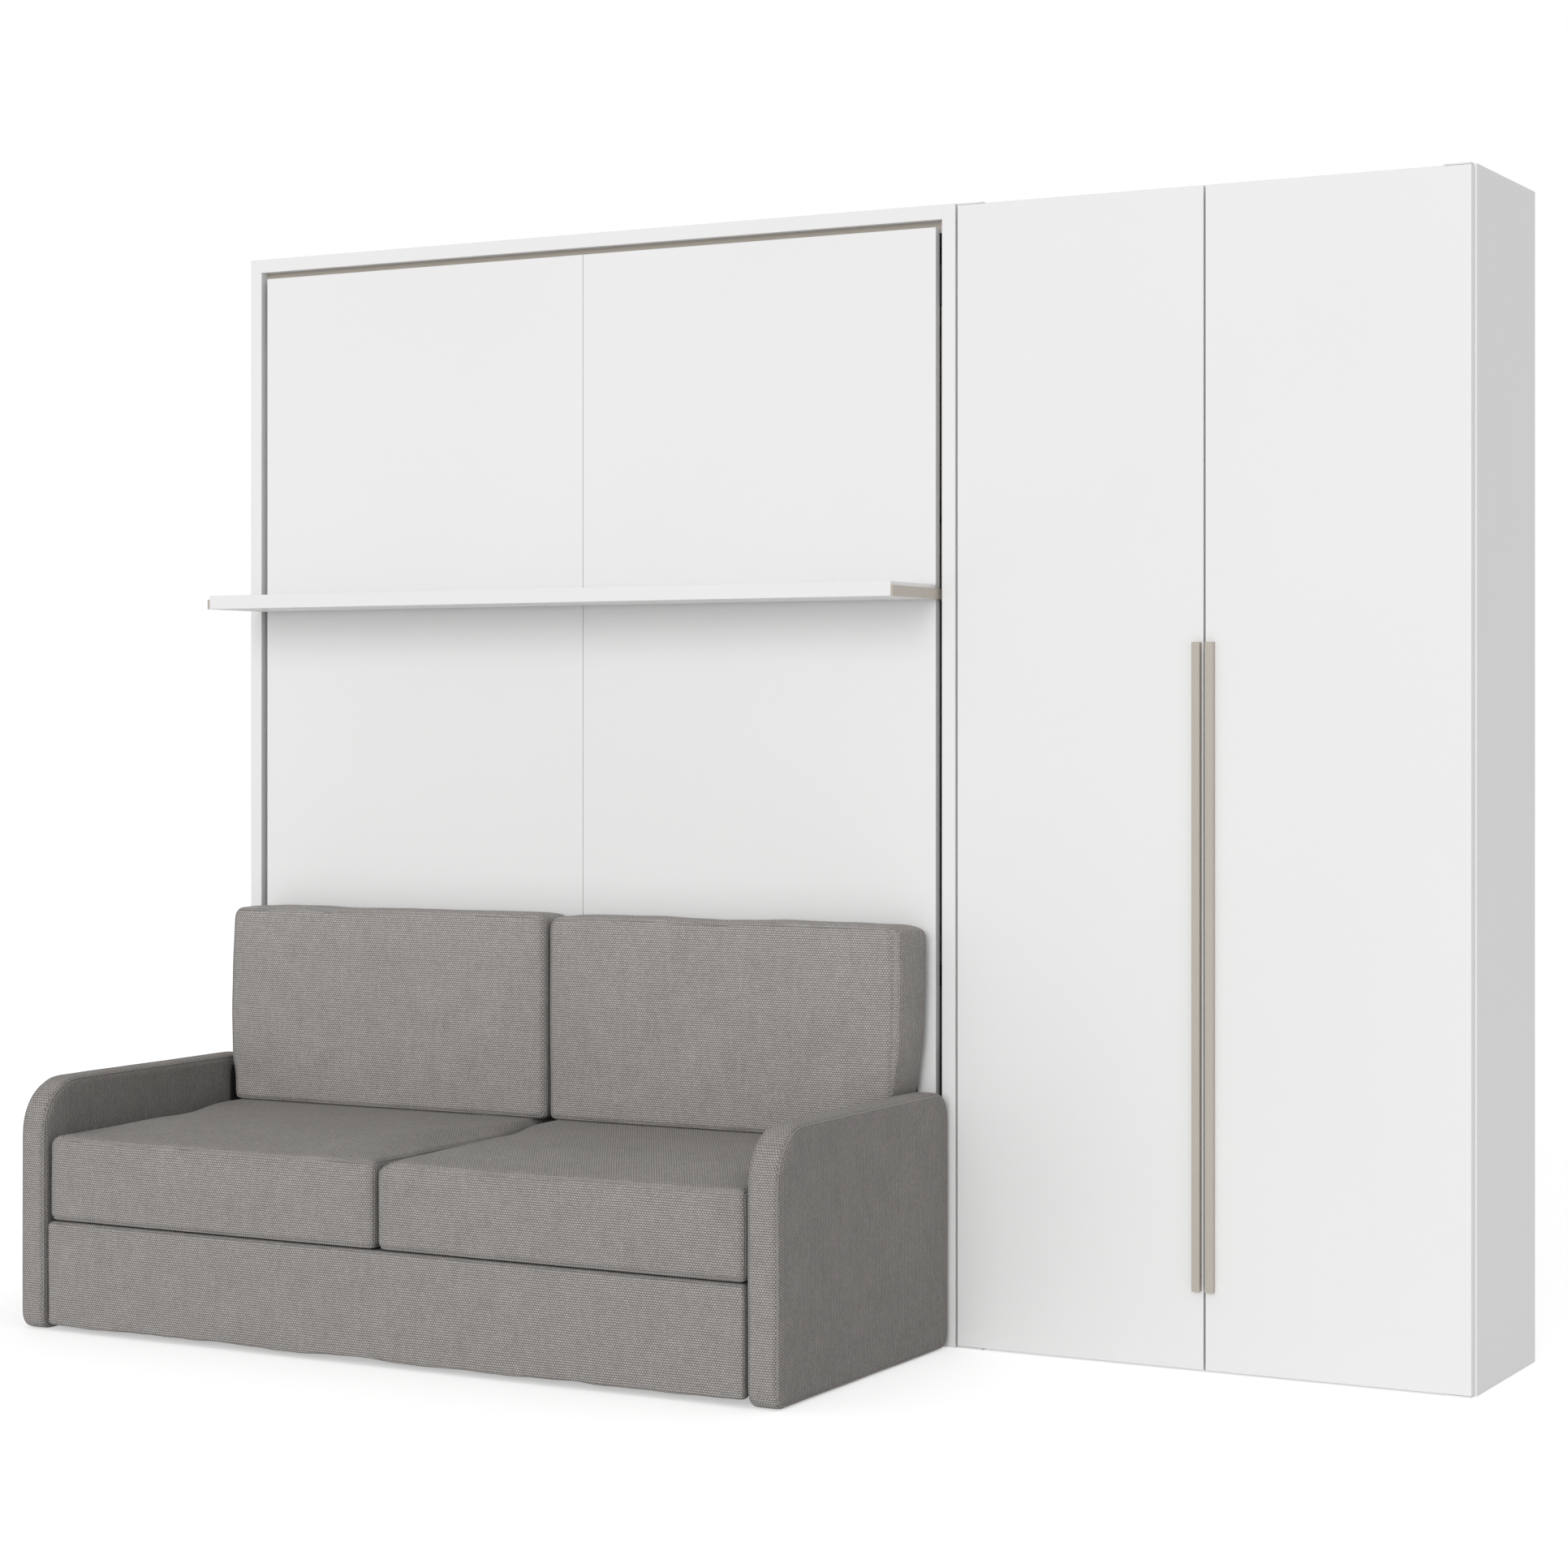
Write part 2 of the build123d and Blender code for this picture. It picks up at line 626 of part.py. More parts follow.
def shelf_arm(label, side):
    """Flat steel arm: a bar under the shelf's end, a leg up the side gap and a crank at its top."""
    with BuildPart() as arm:
        with BuildSketch(side_plane(side, ARM_OFFSET, ARM_THICK)):
            with Locations(((FRONT - SHELF_DEPTH + LEG_REAR) / 2, SHELF_BOTTOM + ARM_BAR / 2)):
                Rectangle(LEG_REAR - FRONT + SHELF_DEPTH, ARM_BAR)
            with Locations(((LEG_FRONT + LEG_REAR) / 2, (SHELF_BOTTOM + SHELF_PIVOT[1]) / 2)):
                Rectangle(LEG_REAR - LEG_FRONT, SHELF_PIVOT[1] - SHELF_BOTTOM)
        extrude(amount=ARM_THICK)
        with BuildSketch(side_plane(side, ARM_OFFSET, ARM_THICK)):
            with Locations(SHELF_PIVOT, LINK_TOP):
                Circle(ARM_EYE)
            make_hull()
        extrude(amount=ARM_THICK)
        ends = sorted((side_x(side, ARM_OFFSET), side_x(side, ARM_OFFSET + ARM_THICK)))
        bar_x(*ends, *SHELF_PIVOT, SHELF_BOLT + RUNNING, Mode.SUBTRACT)
        bar_x(*ends, *LINK_TOP, LINK_PIN + 2 * RUNNING, Mode.SUBTRACT)
    save(arm, label)


def shelf_pivot_bolts():
    """Shouldered bolts from the bed's side rails that carry the shelf arms."""
    arm_start, arm_end = ARM_OFFSET - COLLAR_GAP, ARM_OFFSET + ARM_THICK + COLLAR_GAP
    steps = (
        (COLLAR_START, arm_start, BOLT_COLLAR),
        (arm_start, arm_end, SHELF_BOLT),
        (arm_end, RAIL_OFFSET, BOLT_COLLAR),
        (RAIL_OFFSET, RAIL_OFFSET + TUBE_WALL, SHELF_BOLT),
    )
    with BuildPart() as bolts:
        for side in (-1, 1):
            for start, end, radius in steps:
                ends = sorted((side_x(side, start), side_x(side, end)))
                bar_x(*ends, *SHELF_PIVOT, radius)
    save(bolts, "shelf_pivot_bolts")


def levelling_rod(label, side):
    """Flat bar, parallel to the line from the tilt hinge to the shelf pivot, with its upper pin."""
    with BuildPart() as rod:
        with BuildSketch(side_plane(side, ROD_OFFSET, ROD_THICK)):
            with Locations(LINK_BOTTOM, LINK_TOP):
                Circle(ROD_HALF)
            make_hull()
            with Locations(LINK_BOTTOM):
                Circle(LINK_PIN + RUNNING, mode=Mode.SUBTRACT)
        extrude(amount=ROD_THICK)
        inner = ROD_OFFSET + ROD_THICK
        ends = sorted((side_x(side, inner), side_x(side, ARM_OFFSET + ARM_THICK)))
        bar_x(*ends, *LINK_TOP, LINK_PIN)
    save(rod, label)


# ---- gas struts ----
STRUT_RUN = (STRUT_FOOT[0] - STRUT_TOP[0], STRUT_FOOT[1] - STRUT_TOP[1])
STRUT_LENGTH = (STRUT_RUN[0] ** 2 + STRUT_RUN[1] ** 2) ** 0.5
STRUT_LEAN = degrees(atan2(STRUT_RUN[0], -STRUT_RUN[1]))


def along_strut(distance):
    """Point (y, z) on the strut's line, measured down from its upper eye."""
    lean = radians(STRUT_LEAN)
    return STRUT_TOP[0] + distance * sin(lean), STRUT_TOP[1] - distance * cos(lean)


def strut_bar(x, start, end, radius, mode=Mode.ADD):
    """Round bar along the strut's own line."""
    y, z = along_strut((start + end) / 2)
    with Locations((x, y, z)):
        Cylinder(radius, end - start, rotation=(STRUT_LEAN, 0, 0), mode=mode)


def strut(side, name):
    x = side_x(side, STRUT_OFFSET)
    eye = (x - EYE_THICK / 2, x + EYE_THICK / 2)
    tube_end = EYE_NECK + CYLINDER_LENGTH
    with BuildPart() as cylinder:
        strut_bar(x, EYE_NECK, tube_end, CYLINDER_RADIUS)
        strut_bar(x, EYE_NECK + CYLINDER_CAP, tube_end - CYLINDER_SEAL, CYLINDER_BORE, Mode.SUBTRACT)
        strut_bar(x, tube_end - CYLINDER_SEAL - 1, tube_end + 1, STRUT_ROD + RUNNING, Mode.SUBTRACT)
        bar_x(*eye, *STRUT_TOP, EYE_RADIUS)
        bar_x(*eye, *STRUT_TOP, STUD_RADIUS + RUNNING, Mode.SUBTRACT)
    save(cylinder, f"strut_cylinder_{name}")

    piston_at = tube_end - PISTON_INSIDE
    with BuildPart() as rod:
        strut_bar(x, piston_at, STRUT_LENGTH - EYE_NECK, STRUT_ROD)
        strut_bar(x, piston_at, piston_at + PISTON_LENGTH, PISTON_RADIUS)
        bar_x(*eye, *STRUT_FOOT, EYE_RADIUS)
        bar_x(*eye, *STRUT_FOOT, STUD_RADIUS + RUNNING, Mode.SUBTRACT)
    save(rod, f"strut_rod_{name}")


# ---- wardrobe ----
WARDROBE_INNER = (WARDROBE_LEFT + CARCASS_BOARD, WARDROBE_RIGHT - CARCASS_BOARD)
WARDROBE_BACK_FRONT = REAR - WARDROBE_BACK
HINGE_X = {-1: WARDROBE_LEFT + DOOR_GAP + PIVOT_EDGE, 1: WARDROBE_RIGHT - DOOR_GAP - PIVOT_EDGE}
HINGE_Y = PANEL_FRONT + PIVOT_DEPTH
PIVOT_REACH = 46
PIVOT_OVERHANG = 4
PIVOT_NOSE = 4.5
PIVOT_Y = (HINGE_Y - PIVOT_NOSE, CARCASS_FRONT + 45)
WARDROBE_FIXING = 700


def pivot_plate_x(side):
    """X span of a door pivot's plate, from the door's edge inward."""
    hinge = HINGE_X[side]
    return tuple(sorted((hinge + side * PIVOT_OVERHANG, hinge - side * PIVOT_REACH)))


def cut_pivot_pockets(sides=(-1, 1)):
    """Pockets in the carcass, flush with its top and bottom, for the pivot plates."""
    for side in sides:
        for z in ((0, PIVOT_PLATE), (HEIGHT - PIVOT_PLATE, HEIGHT)):
            cut_block(pivot_plate_x(side), PIVOT_Y, z)


def wardrobe_side(label, x, side):
    with BuildPart() as panel:
        block(x, (CARCASS_FRONT, REAR), (0, HEIGHT))
        fillet(panel.edges(), BOARD_EDGE)
        cut_pivot_pockets((side,))
    save(panel, label)


def wardrobe_end(label, z):
    """Top or bottom board between the sides."""
    with BuildPart() as panel:
        block(WARDROBE_INNER, (CARCASS_FRONT, REAR), z)
        cut_pivot_pockets()
    save(panel, label)


def wardrobe_back():
    centre = (WARDROBE_LEFT + WARDROBE_RIGHT) / 2
    z = (CARCASS_BOARD, HEIGHT - CARCASS_BOARD)
    rail_z = (z[1] - BASE_RAIL_HEIGHT, z[1])
    rail_y = (WARDROBE_BACK_FRONT - WALL_RAIL_DEPTH, WARDROBE_BACK_FRONT)
    holes = [centre + step * WARDROBE_FIXING / 2 for step in (-1, 1)]
    with BuildPart() as panel:
        # the wardrobe's top and bottom boards run over the back panel's ends
        block(WARDROBE_INNER, (WARDROBE_BACK_FRONT, REAR), z)
        for x in holes:
            bar_y(x, WARDROBE_BACK_FRONT, REAR, sum(rail_z) / 2, WALL_HOLE, Mode.SUBTRACT)
    save(panel, "wardrobe_back_panel")
    with BuildPart() as rail:
        block(WARDROBE_INNER, rail_y, rail_z)
        for x in holes:
            bar_y(x, *rail_y, sum(rail_z) / 2, WALL_HOLE, Mode.SUBTRACT)
    save(rail, "wardrobe_wall_rail")


SHELF_SIDE_GAP = 1
SHELF_REAR = WARDROBE_BACK_FRONT - 2
SHELF_SETBACK = 12
PEG_RADIUS = 2.5
PEG_LENGTH = 12
PEG_Y = (CARCASS_FRONT + 50, SHELF_REAR - 45)


def wardrobe_shelves():
    x = (WARDROBE_INNER[0] + SHELF_SIDE_GAP, WARDROBE_INNER[1] - SHELF_SIDE_GAP)
    with BuildPart() as shelves:
        for level in SHELF_LEVELS:
            block(x, (CARCASS_FRONT + SHELF_SETBACK, SHELF_REAR), (level, level + CARCASS_BOARD))
    save(shelves, "wardrobe_shelves")


def shelf_supports():
    """Pegs on the carcass sides under each inner shelf."""
    with BuildPart() as pegs:
        for level in SHELF_LEVELS:
            for y in PEG_Y:
                z = level - PEG_RADIUS
                bar_x(WARDROBE_INNER[0], WARDROBE_INNER[0] + PEG_LENGTH, y, z, PEG_RADIUS)
                bar_x(WARDROBE_INNER[1] - PEG_LENGTH, WARDROBE_INNER[1], y, z, PEG_RADIUS)
    save(pegs, "shelf_supports")


def hanging_rail():
    """Clothes rail and the two sockets that hold its ends."""
    y = (CARCASS_FRONT + REAR) / 2
    low, high = WARDROBE_INNER
    rail_low, rail_high = low + SOCKET_FLOOR, high - SOCKET_FLOOR
    with BuildPart() as rail:
        bar_x(rail_low, rail_high, y, RAIL_HEIGHT, HANGING_RADIUS)
        bar_x(rail_low, rail_high, y, RAIL_HEIGHT, HANGING_RADIUS - HANGING_WALL, Mode.SUBTRACT)
    save(rail, "hanging_rail")
    with BuildPart() as sockets:
        for wall, seat, mouth in (
            (low, rail_low, low + SOCKET_DEPTH),
            (high, rail_high, high - SOCKET_DEPTH),
        ):
            bar_x(*sorted((wall, mouth)), y, RAIL_HEIGHT, HANGING_RADIUS + SOCKET_WALL)
            bar_x(*sorted((seat, mouth)), y, RAIL_HEIGHT, HANGING_RADIUS, Mode.SUBTRACT)
    save(sockets, "rail_sockets")


def door_pivots():
    """Plates let into the carcass's top and bottom, each with a pin that stands in the door."""
    ceiling = HEIGHT - PIVOT_PLATE
    pin_step = PIVOT_PIN_LENGTH / 2
    with BuildPart() as pivots:
        for side in (-1, 1):
            for plate_z, pin_z in (
                ((0, PIVOT_PLATE), PIVOT_PLATE + pin_step),
                ((ceiling, HEIGHT), ceiling - pin_step),
            ):
                block(pivot_plate_x(side), PIVOT_Y, plate_z)
                with Locations((HINGE_X[side], HINGE_Y, pin_z)):
                    Cylinder(PIVOT_PIN, PIVOT_PIN_LENGTH)
    save(pivots, "door_pivots")


DOOR_WIDTH = (WARDROBE_WIDTH - 3 * DOOR_GAP) / 2
DOOR_X = {
    -1: (WARDROBE_LEFT + DOOR_GAP, WARDROBE_LEFT + DOOR_GAP + DOOR_WIDTH),
    1: (WARDROBE_RIGHT - DOOR_GAP - DOOR_WIDTH, WARDROBE_RIGHT - DOOR_GAP),
}


def wardrobe_door(label, side):
    depth = PIVOT_PIN_LENGTH + 1
    with BuildPart() as door:
        block(DOOR_X[side], (PANEL_FRONT, PANEL_REAR), (DOOR_LOW, DOOR_HIGH))
        fillet(door.edges(), BOARD_EDGE)
        for z in (DOOR_LOW + depth / 2, DOOR_HIGH - depth / 2):
            with Locations((HINGE_X[side], HINGE_Y, z)):
                Cylinder(PIVOT_PIN + RUNNING, depth, mode=Mode.SUBTRACT)
    save(door, label)


def door_handle(label, side):
    """C-shaped profile, closed on the door's side and open towards the gap between the doors."""
    free = DOOR_X[side][1] - HANDLE_EDGE if side < 0 else DOOR_X[side][0] + HANDLE_EDGE
    x = tuple(sorted((free, free + side * HANDLE_WIDTH)))
    y = (PANEL_FRONT - HANDLE_PROUD, PANEL_FRONT)
    groove = tuple(sorted((free - side, free + side * (HANDLE_WIDTH - HANDLE_WALL))))
    with BuildPart() as handle:
        block(x, y, (HANDLE_LOW, HANDLE_HIGH))
        fillet(handle.edges().filter_by(Axis.Z), HANDLE_ROUND)
        cut_block(groove, (y[0] + HANDLE_WALL, y[1] - HANDLE_BACK), (HANDLE_LOW, HANDLE_HIGH))
    save(handle, label)


def wardrobe():
    wardrobe_side("wardrobe_side_left", (WARDROBE_LEFT, WARDROBE_INNER[0]), -1)
    wardrobe_side("wardrobe_side_right", (WARDROBE_INNER[1], WARDROBE_RIGHT), 1)
    wardrobe_end("wardrobe_bottom_panel", (0, CARCASS_BOARD))
    wardrobe_end("wardrobe_top_panel", (HEIGHT - CARCASS_BOARD, HEIGHT))
    wardrobe_back()
    wardrobe_shelves()
    shelf_supports()
    hanging_rail()
    door_pivots()
    for side, name in ((-1, "left"), (1, "right")):
        wardrobe_door(f"wardrobe_door_{name}", side)
        door_handle(f"door_handle_{name}", side)


# ---- sofa ----
ARM_FRONT_TOP = 105
ARM_REAR_TOP = 45
ARM_FOOT = 28
ARM_REAR = FRONT - 5
SCREW_CLEARANCE = 0.1


def sofa_arm(label, x, inner):
    """Upholstered slab with a large round at its front top corner and soft edges all round."""
    with BuildPart() as arm:
        with BuildSketch(Plane.YZ.offset(x[0])) as profile:
            with Locations(((SOFA_FRONT + ARM_REAR) / 2, ARM_HEIGHT / 2)):
                Rectangle(ARM_REAR - SOFA_FRONT, ARM_HEIGHT)
            fillet(profile.vertices().group_by(Axis.Y)[0], ARM_FOOT)
            fillet(profile.vertices().group_by(Axis.Y)[-1].sort_by(Axis.X)[-1], ARM_REAR_TOP)
            fillet(profile.vertices().group_by(Axis.Y)[-1].sort_by(Axis.X)[0], ARM_FRONT_TOP)
        extrude(amount=ARM_WIDTH)
        rims = arm.faces().sort_by(Axis.X)
        fillet(rims[0].edges() + rims[-1].edges(), ARM_EDGE)
        inward = 1 if inner == x[0] else -1
        for y, z in SCREW_PLACES:
            ends = sorted((inner, inner + inward * SCREW_LENGTH))
            bar_x(*ends, y, z, SCREW_RADIUS + SCREW_CLEARANCE, Mode.SUBTRACT)
    save(arm, label)


def cushion(label, x, y, z, edge):
    with BuildPart() as pad:
        block(x, y, z)
        fillet(pad.edges(), edge)
    save(pad, label)


NOTCH_DEPTH = 175
WEB_CLEARANCE = 2
NOTCH_LEFT = WEB_LEFT[1] + WEB_CLEARANCE
NOTCH_RIGHT = WEB_RIGHT[0] - WEB_CLEARANCE


def seat_cushion(label, x, notch):
    """Box cushion with its rear outer corner cut back for the hinge bracket."""
    with BuildPart() as pad:
        block(x, (SEAT_FRONT, SEAT_REAR), (SEAT_LOW, SEAT_TOP))
        cut_block(notch, (SEAT_REAR - NOTCH_DEPTH, SEAT_REAR), (SEAT_LOW, SEAT_TOP))
        front = pad.edges().filter_by(Axis.X).sort_by(Axis.Y)[:2]
        fillet(front, SEAT_EDGE)
    save(pad, label)


SOFA_RAIL_DEPTH = 24
SOFA_RAIL_LOW = 90
SOFA_RAIL_SETBACK = 10
DECK_CLEARANCE = 3
DECK_X = (WEB_LEFT[1] + DECK_CLEARANCE, WEB_RIGHT[0] - DECK_CLEARANCE)


def sofa():
    sofa_arm("sofa_arm_left", (SOFA_LEFT, ARM_INNER_LEFT), ARM_INNER_LEFT)
    sofa_arm("sofa_arm_right", (ARM_INNER_RIGHT, SOFA_RIGHT), ARM_INNER_RIGHT)
    outer_left, outer_right = ARM_INNER_LEFT + ARM_CLEARANCE, ARM_INNER_RIGHT - ARM_CLEARANCE
    skirt_y = (SKIRT_FRONT, SKIRT_FRONT + SKIRT_THICK)
    skirt_z = (SKIRT_LOW, SKIRT_TOP)
    cushion("sofa_front_skirt", (outer_left, outer_right), skirt_y, skirt_z, SKIRT_EDGE)
    seat_left = (outer_left, SEAT_SPLIT - SEAT_GAP / 2)
    seat_right = (SEAT_SPLIT + SEAT_GAP / 2, outer_right)
    seat_cushion("seat_cushion_left", seat_left, (ARM_INNER_LEFT, NOTCH_LEFT))
    seat_cushion("seat_cushion_right", seat_right, (NOTCH_RIGHT, ARM_INNER_RIGHT))
    back_y = (CUSHION_FRONT, CUSHION_REAR)
    back_z = (CUSHION_LOW, CUSHION_TOP)
    back_left = (NOTCH_LEFT, CUSHION_SPLIT - SEAT_GAP / 2)
    back_right = (CUSHION_SPLIT + SEAT_GAP / 2, NOTCH_RIGHT)
    cushion("back_cushion_left", back_left, back_y, back_z, CUSHION_EDGE)
    cushion("back_cushion_right", back_right, back_y, back_z, CUSHION_EDGE)
    deck_low = SEAT_LOW - DECK_GAP - DECK_THICK
    deck_y = (SKIRT_FRONT + SKIRT_THICK + DECK_GAP, SEAT_REAR)
    board("seat_deck", DECK_X, deck_y, (deck_low, deck_low + DECK_THICK))
    with BuildPart() as rails:
        for rear in (deck_y[0] + SOFA_RAIL_DEPTH, SEAT_REAR - SOFA_RAIL_SETBACK):
            block(DECK_X, (rear - SOFA_RAIL_DEPTH, rear), (SOFA_RAIL_LOW, deck_low))
    save(rails, "sofa_rails")


cabinet()
mechanism_plates()
strut_anchors()
pivot_supports()
pivot_pins()
support_screws()
bed()
shelf_board()
shelf_pivot_bolts()
for bed_side, side_name in ((-1, "left"), (1, "right")):
    shelf_arm(f"shelf_arm_{side_name}", bed_side)
    levelling_rod(f"levelling_rod_{side_name}", bed_side)
    strut(bed_side, side_name)
wardrobe()
sofa()
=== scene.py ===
"""Looks of the wall bed with sofa, shelf and wardrobe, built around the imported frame."""

import json
import math

import bmesh
import bpy
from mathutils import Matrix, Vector, noise
from mathutils.bvhtree import BVHTree
from mathutils.kdtree import KDTree


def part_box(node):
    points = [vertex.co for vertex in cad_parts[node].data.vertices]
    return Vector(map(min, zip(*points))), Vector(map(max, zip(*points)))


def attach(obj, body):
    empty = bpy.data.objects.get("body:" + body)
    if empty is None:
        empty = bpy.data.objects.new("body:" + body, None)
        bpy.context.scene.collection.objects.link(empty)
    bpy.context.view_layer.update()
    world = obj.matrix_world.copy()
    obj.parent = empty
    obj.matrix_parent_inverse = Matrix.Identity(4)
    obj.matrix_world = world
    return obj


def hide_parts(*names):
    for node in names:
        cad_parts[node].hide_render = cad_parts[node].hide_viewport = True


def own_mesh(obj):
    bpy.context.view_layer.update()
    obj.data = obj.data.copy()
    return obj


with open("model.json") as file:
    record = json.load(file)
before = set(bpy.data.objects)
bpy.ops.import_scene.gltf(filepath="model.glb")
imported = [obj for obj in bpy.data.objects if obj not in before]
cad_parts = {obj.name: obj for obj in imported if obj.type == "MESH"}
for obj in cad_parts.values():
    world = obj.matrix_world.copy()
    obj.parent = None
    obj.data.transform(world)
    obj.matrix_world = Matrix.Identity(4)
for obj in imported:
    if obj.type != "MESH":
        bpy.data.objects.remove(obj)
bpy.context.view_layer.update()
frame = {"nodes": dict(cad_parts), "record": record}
MM = 0.001

# ---------------------------------------------------------------- camera
CAMERA_PLACE = (3.1067, -5.6125, 1.195)
CAMERA_YAW = math.radians(28.474)
CAMERA_LENS = 76.887
CAMERA_SHIFT_Y = -0.0405

# ---------------------------------------------------------------- colours, linear
WHITE_LACQUER = (0.82, 0.82, 0.818)
WHITE_MELAMINE = (0.80, 0.80, 0.79)
TAUPE = (0.475, 0.432, 0.38)
FABRIC_LIGHT = (0.462, 0.438, 0.418)
FABRIC_DARK = (0.120, 0.113, 0.108)
SEAM_THREAD = (0.44, 0.415, 0.395)
STEEL_GREY = (0.045, 0.046, 0.048)
BRIGHT_METAL = (0.62, 0.62, 0.63)
CHROME = (0.78, 0.78, 0.79)
STRUT_BLACK = (0.03, 0.03, 0.032)
BIRCH = (0.66, 0.49, 0.31)
BIRCH_DARK = (0.47, 0.32, 0.18)
PLASTIC_GREY = (0.06, 0.062, 0.066)
TICKING = (0.80, 0.80, 0.78)
TICKING_DARK = (0.62, 0.63, 0.62)
WEBBING = (0.10, 0.10, 0.105)
WEBBING_DARK = (0.04, 0.04, 0.042)

# ---------------------------------------------------------------- weaves, in millimetres
ROW_PITCH = 4.4
BUMP_PITCH = 5.25
SEAM_RIB = 1.4
TICKING_LENGTH = 9.0
TICKING_WIDTH = 7.0
STRAP_CHEVRON = 3.0
STRAP_RIB = 0.9
PLY_THICK = 0.8
GLUE_LINE = 0.12

# ---------------------------------------------------------------- painted shade and painted light on the sofa fabric, as shares
# painted shade: share of its tone that the fabric keeps on faces looking sideways
SIDE_PAINTED_SHADE = 0.76
# painted light: how much lighter the back cushions' copy of the fabric is
BACK_PAINTED_LIGHT = 1.17


# ================================================================ node graphs
class Graph:
    """A material's node tree, with short calls for the nodes that the finishes are made of."""

    def __init__(self, name, rough, metallic=0.0, sheen=0.0, coat=0.0, specular=0.5):
        self.material = bpy.data.materials.new(name)
        self.material.use_nodes = True
        self.tree = self.material.node_tree
        self.shader = self.tree.nodes["Principled BSDF"]
        self.set("Roughness", rough)
        self.set("Metallic", metallic)
        self.set("Sheen Weight", sheen)
        self.set("Sheen Roughness", 0.5)
        self.set("Coat Weight", coat)
        self.set("Specular IOR Level", specular)

    def set(self, socket, value):
        self.shader.inputs[socket].default_value = value

    def link(self, output, socket):
        self.tree.links.new(output, self.shader.inputs[socket])

    def feed(self, socket, value):
        if isinstance(value, bpy.types.NodeSocket):
            self.tree.links.new(value, socket)
        elif value is not None:
            socket.default_value = value

    def math(self, operation, a, b=None, c=None, clamp=False):
        made = self.tree.nodes.new("ShaderNodeMath")
        made.operation = operation
        made.use_clamp = clamp
        for socket, value in zip(made.inputs, (a, b, c)):
            self.feed(socket, value)
        return made.outputs[0]

    def place(self):
        """Object coordinates in millimetres, as three sockets."""
        coordinates = self.tree.nodes.new("ShaderNodeTexCoord")
        split = self.tree.nodes.new("ShaderNodeSeparateXYZ")
        self.tree.links.new(coordinates.outputs["Object"], split.inputs[0])
        return [self.math("MULTIPLY", s, 1 / MM) for s in split.outputs]

    def facing(self):
        """How much the surface faces along x, y and z in the object's own frame, from 0 to 1."""
        coordinates = self.tree.nodes.new("ShaderNodeTexCoord")
        split = self.tree.nodes.new("ShaderNodeSeparateXYZ")
        self.tree.links.new(coordinates.outputs["Normal"], split.inputs[0])
        return [self.math("ABSOLUTE", s) for s in split.outputs]

    def vector(self, x, y, z=0.0):
        made = self.tree.nodes.new("ShaderNodeCombineXYZ")
        for socket, value in zip(made.inputs, (x, y, z)):
            self.feed(socket, value)
        return made.outputs[0]

    def noise(self, size, detail=2.0, stretch=(1, 1, 1), roughness=0.5, vector=None):
        """Noise whose features are about size millimetres wide, times stretch along each axis."""
        if vector is None:
            coordinates = self.tree.nodes.new("ShaderNodeTexCoord")
            mapping = self.tree.nodes.new("ShaderNodeMapping")
            self.tree.links.new(coordinates.outputs["Object"], mapping.inputs["Vector"])
            mapping.inputs["Scale"].default_value = [1 / (size * MM * s) for s in stretch]
            vector = mapping.outputs[0]
        made = self.tree.nodes.new("ShaderNodeTexNoise")
        self.tree.links.new(vector, made.inputs["Vector"])
        made.inputs["Scale"].default_value = 1.0
        made.inputs["Detail"].default_value = detail
        made.inputs["Roughness"].default_value = roughness
        return made.outputs["Fac"]

    def spread(self, value, low, high):
        """value, from 0 to 1, spread to the range from low to high."""
        return self.math("MULTIPLY_ADD", value, high - low, low)

    def mix(self, factor, first, second):
        made = self.tree.nodes.new("ShaderNodeMix")
        made.data_type = "RGBA"
        self.feed(made.inputs["Factor"], factor)
        for name, value in (("A", first), ("B", second)):
            socket = [s for s in made.inputs if s.name == name and s.type == "RGBA"][0]
            self.feed(socket, (*value, 1.0) if isinstance(value, tuple) else value)
        return [s for s in made.outputs if s.type == "RGBA"][0]

    def shade(self, colour, factor):
        """colour made lighter or darker by factor."""
        made = self.tree.nodes.new("ShaderNodeVectorMath")
        made.operation = "SCALE"
        self.feed(made.inputs[0], colour)
        self.feed(made.inputs["Scale"], factor)
        return made.outputs[0]

    def colour(self, value):
        self.link(value, "Base Color")

    def roughness(self, value):
        self.link(value, "Roughness")

    def bump(self, height, distance, strength=1.0, after=None):
        made = self.tree.nodes.new("ShaderNodeBump")
        made.inputs["Distance"].default_value = distance * MM
        made.inputs["Strength"].default_value = strength
        self.feed(made.inputs["Height"], height)
        if after is not None:
            self.feed(made.inputs["Normal"], after)
        self.link(made.outputs[0], "Normal")
        return made.outputs[0]


def board(name, colour, rough, grain):
    """Lacquered or melamine board: a faint orange peel, and tone that drifts slowly over the panel."""
    g = Graph(name, rough, specular=0.4)
    drift = g.spread(g.noise(420, 1.0), 0.985, 1.012)
    speck = g.spread(g.noise(1.6, 1.0), 0.994, 1.006)
    g.colour(g.shade(colour, g.math("MULTIPLY", drift, speck)))
    g.roughness(g.spread(g.noise(60, 2.0), rough - 0.05, rough + 0.05))
    peel = g.bump(g.noise(grain, 2.0), 0.05, 0.35)
    g.bump(g.noise(180, 1.0), 0.25, 0.25, after=peel)
    return g.material


def powder_coat(name, colour, rough, metallic=0.0):
    """Powder-coated or painted metal: fine grain and a little unevenness of gloss."""
    g = Graph(name, rough, metallic=metallic)
    grain = g.noise(0.9, 2.0)
    tone = g.math("MULTIPLY", g.spread(grain, 0.95, 1.05), g.spread(g.noise(90, 1.0), 0.97, 1.03))
    g.colour(g.shade(colour, tone))
    g.roughness(g.spread(g.noise(25, 2.0), rough - 0.06, rough + 0.06))
    g.bump(grain, 0.08, 0.4)
    return g.material


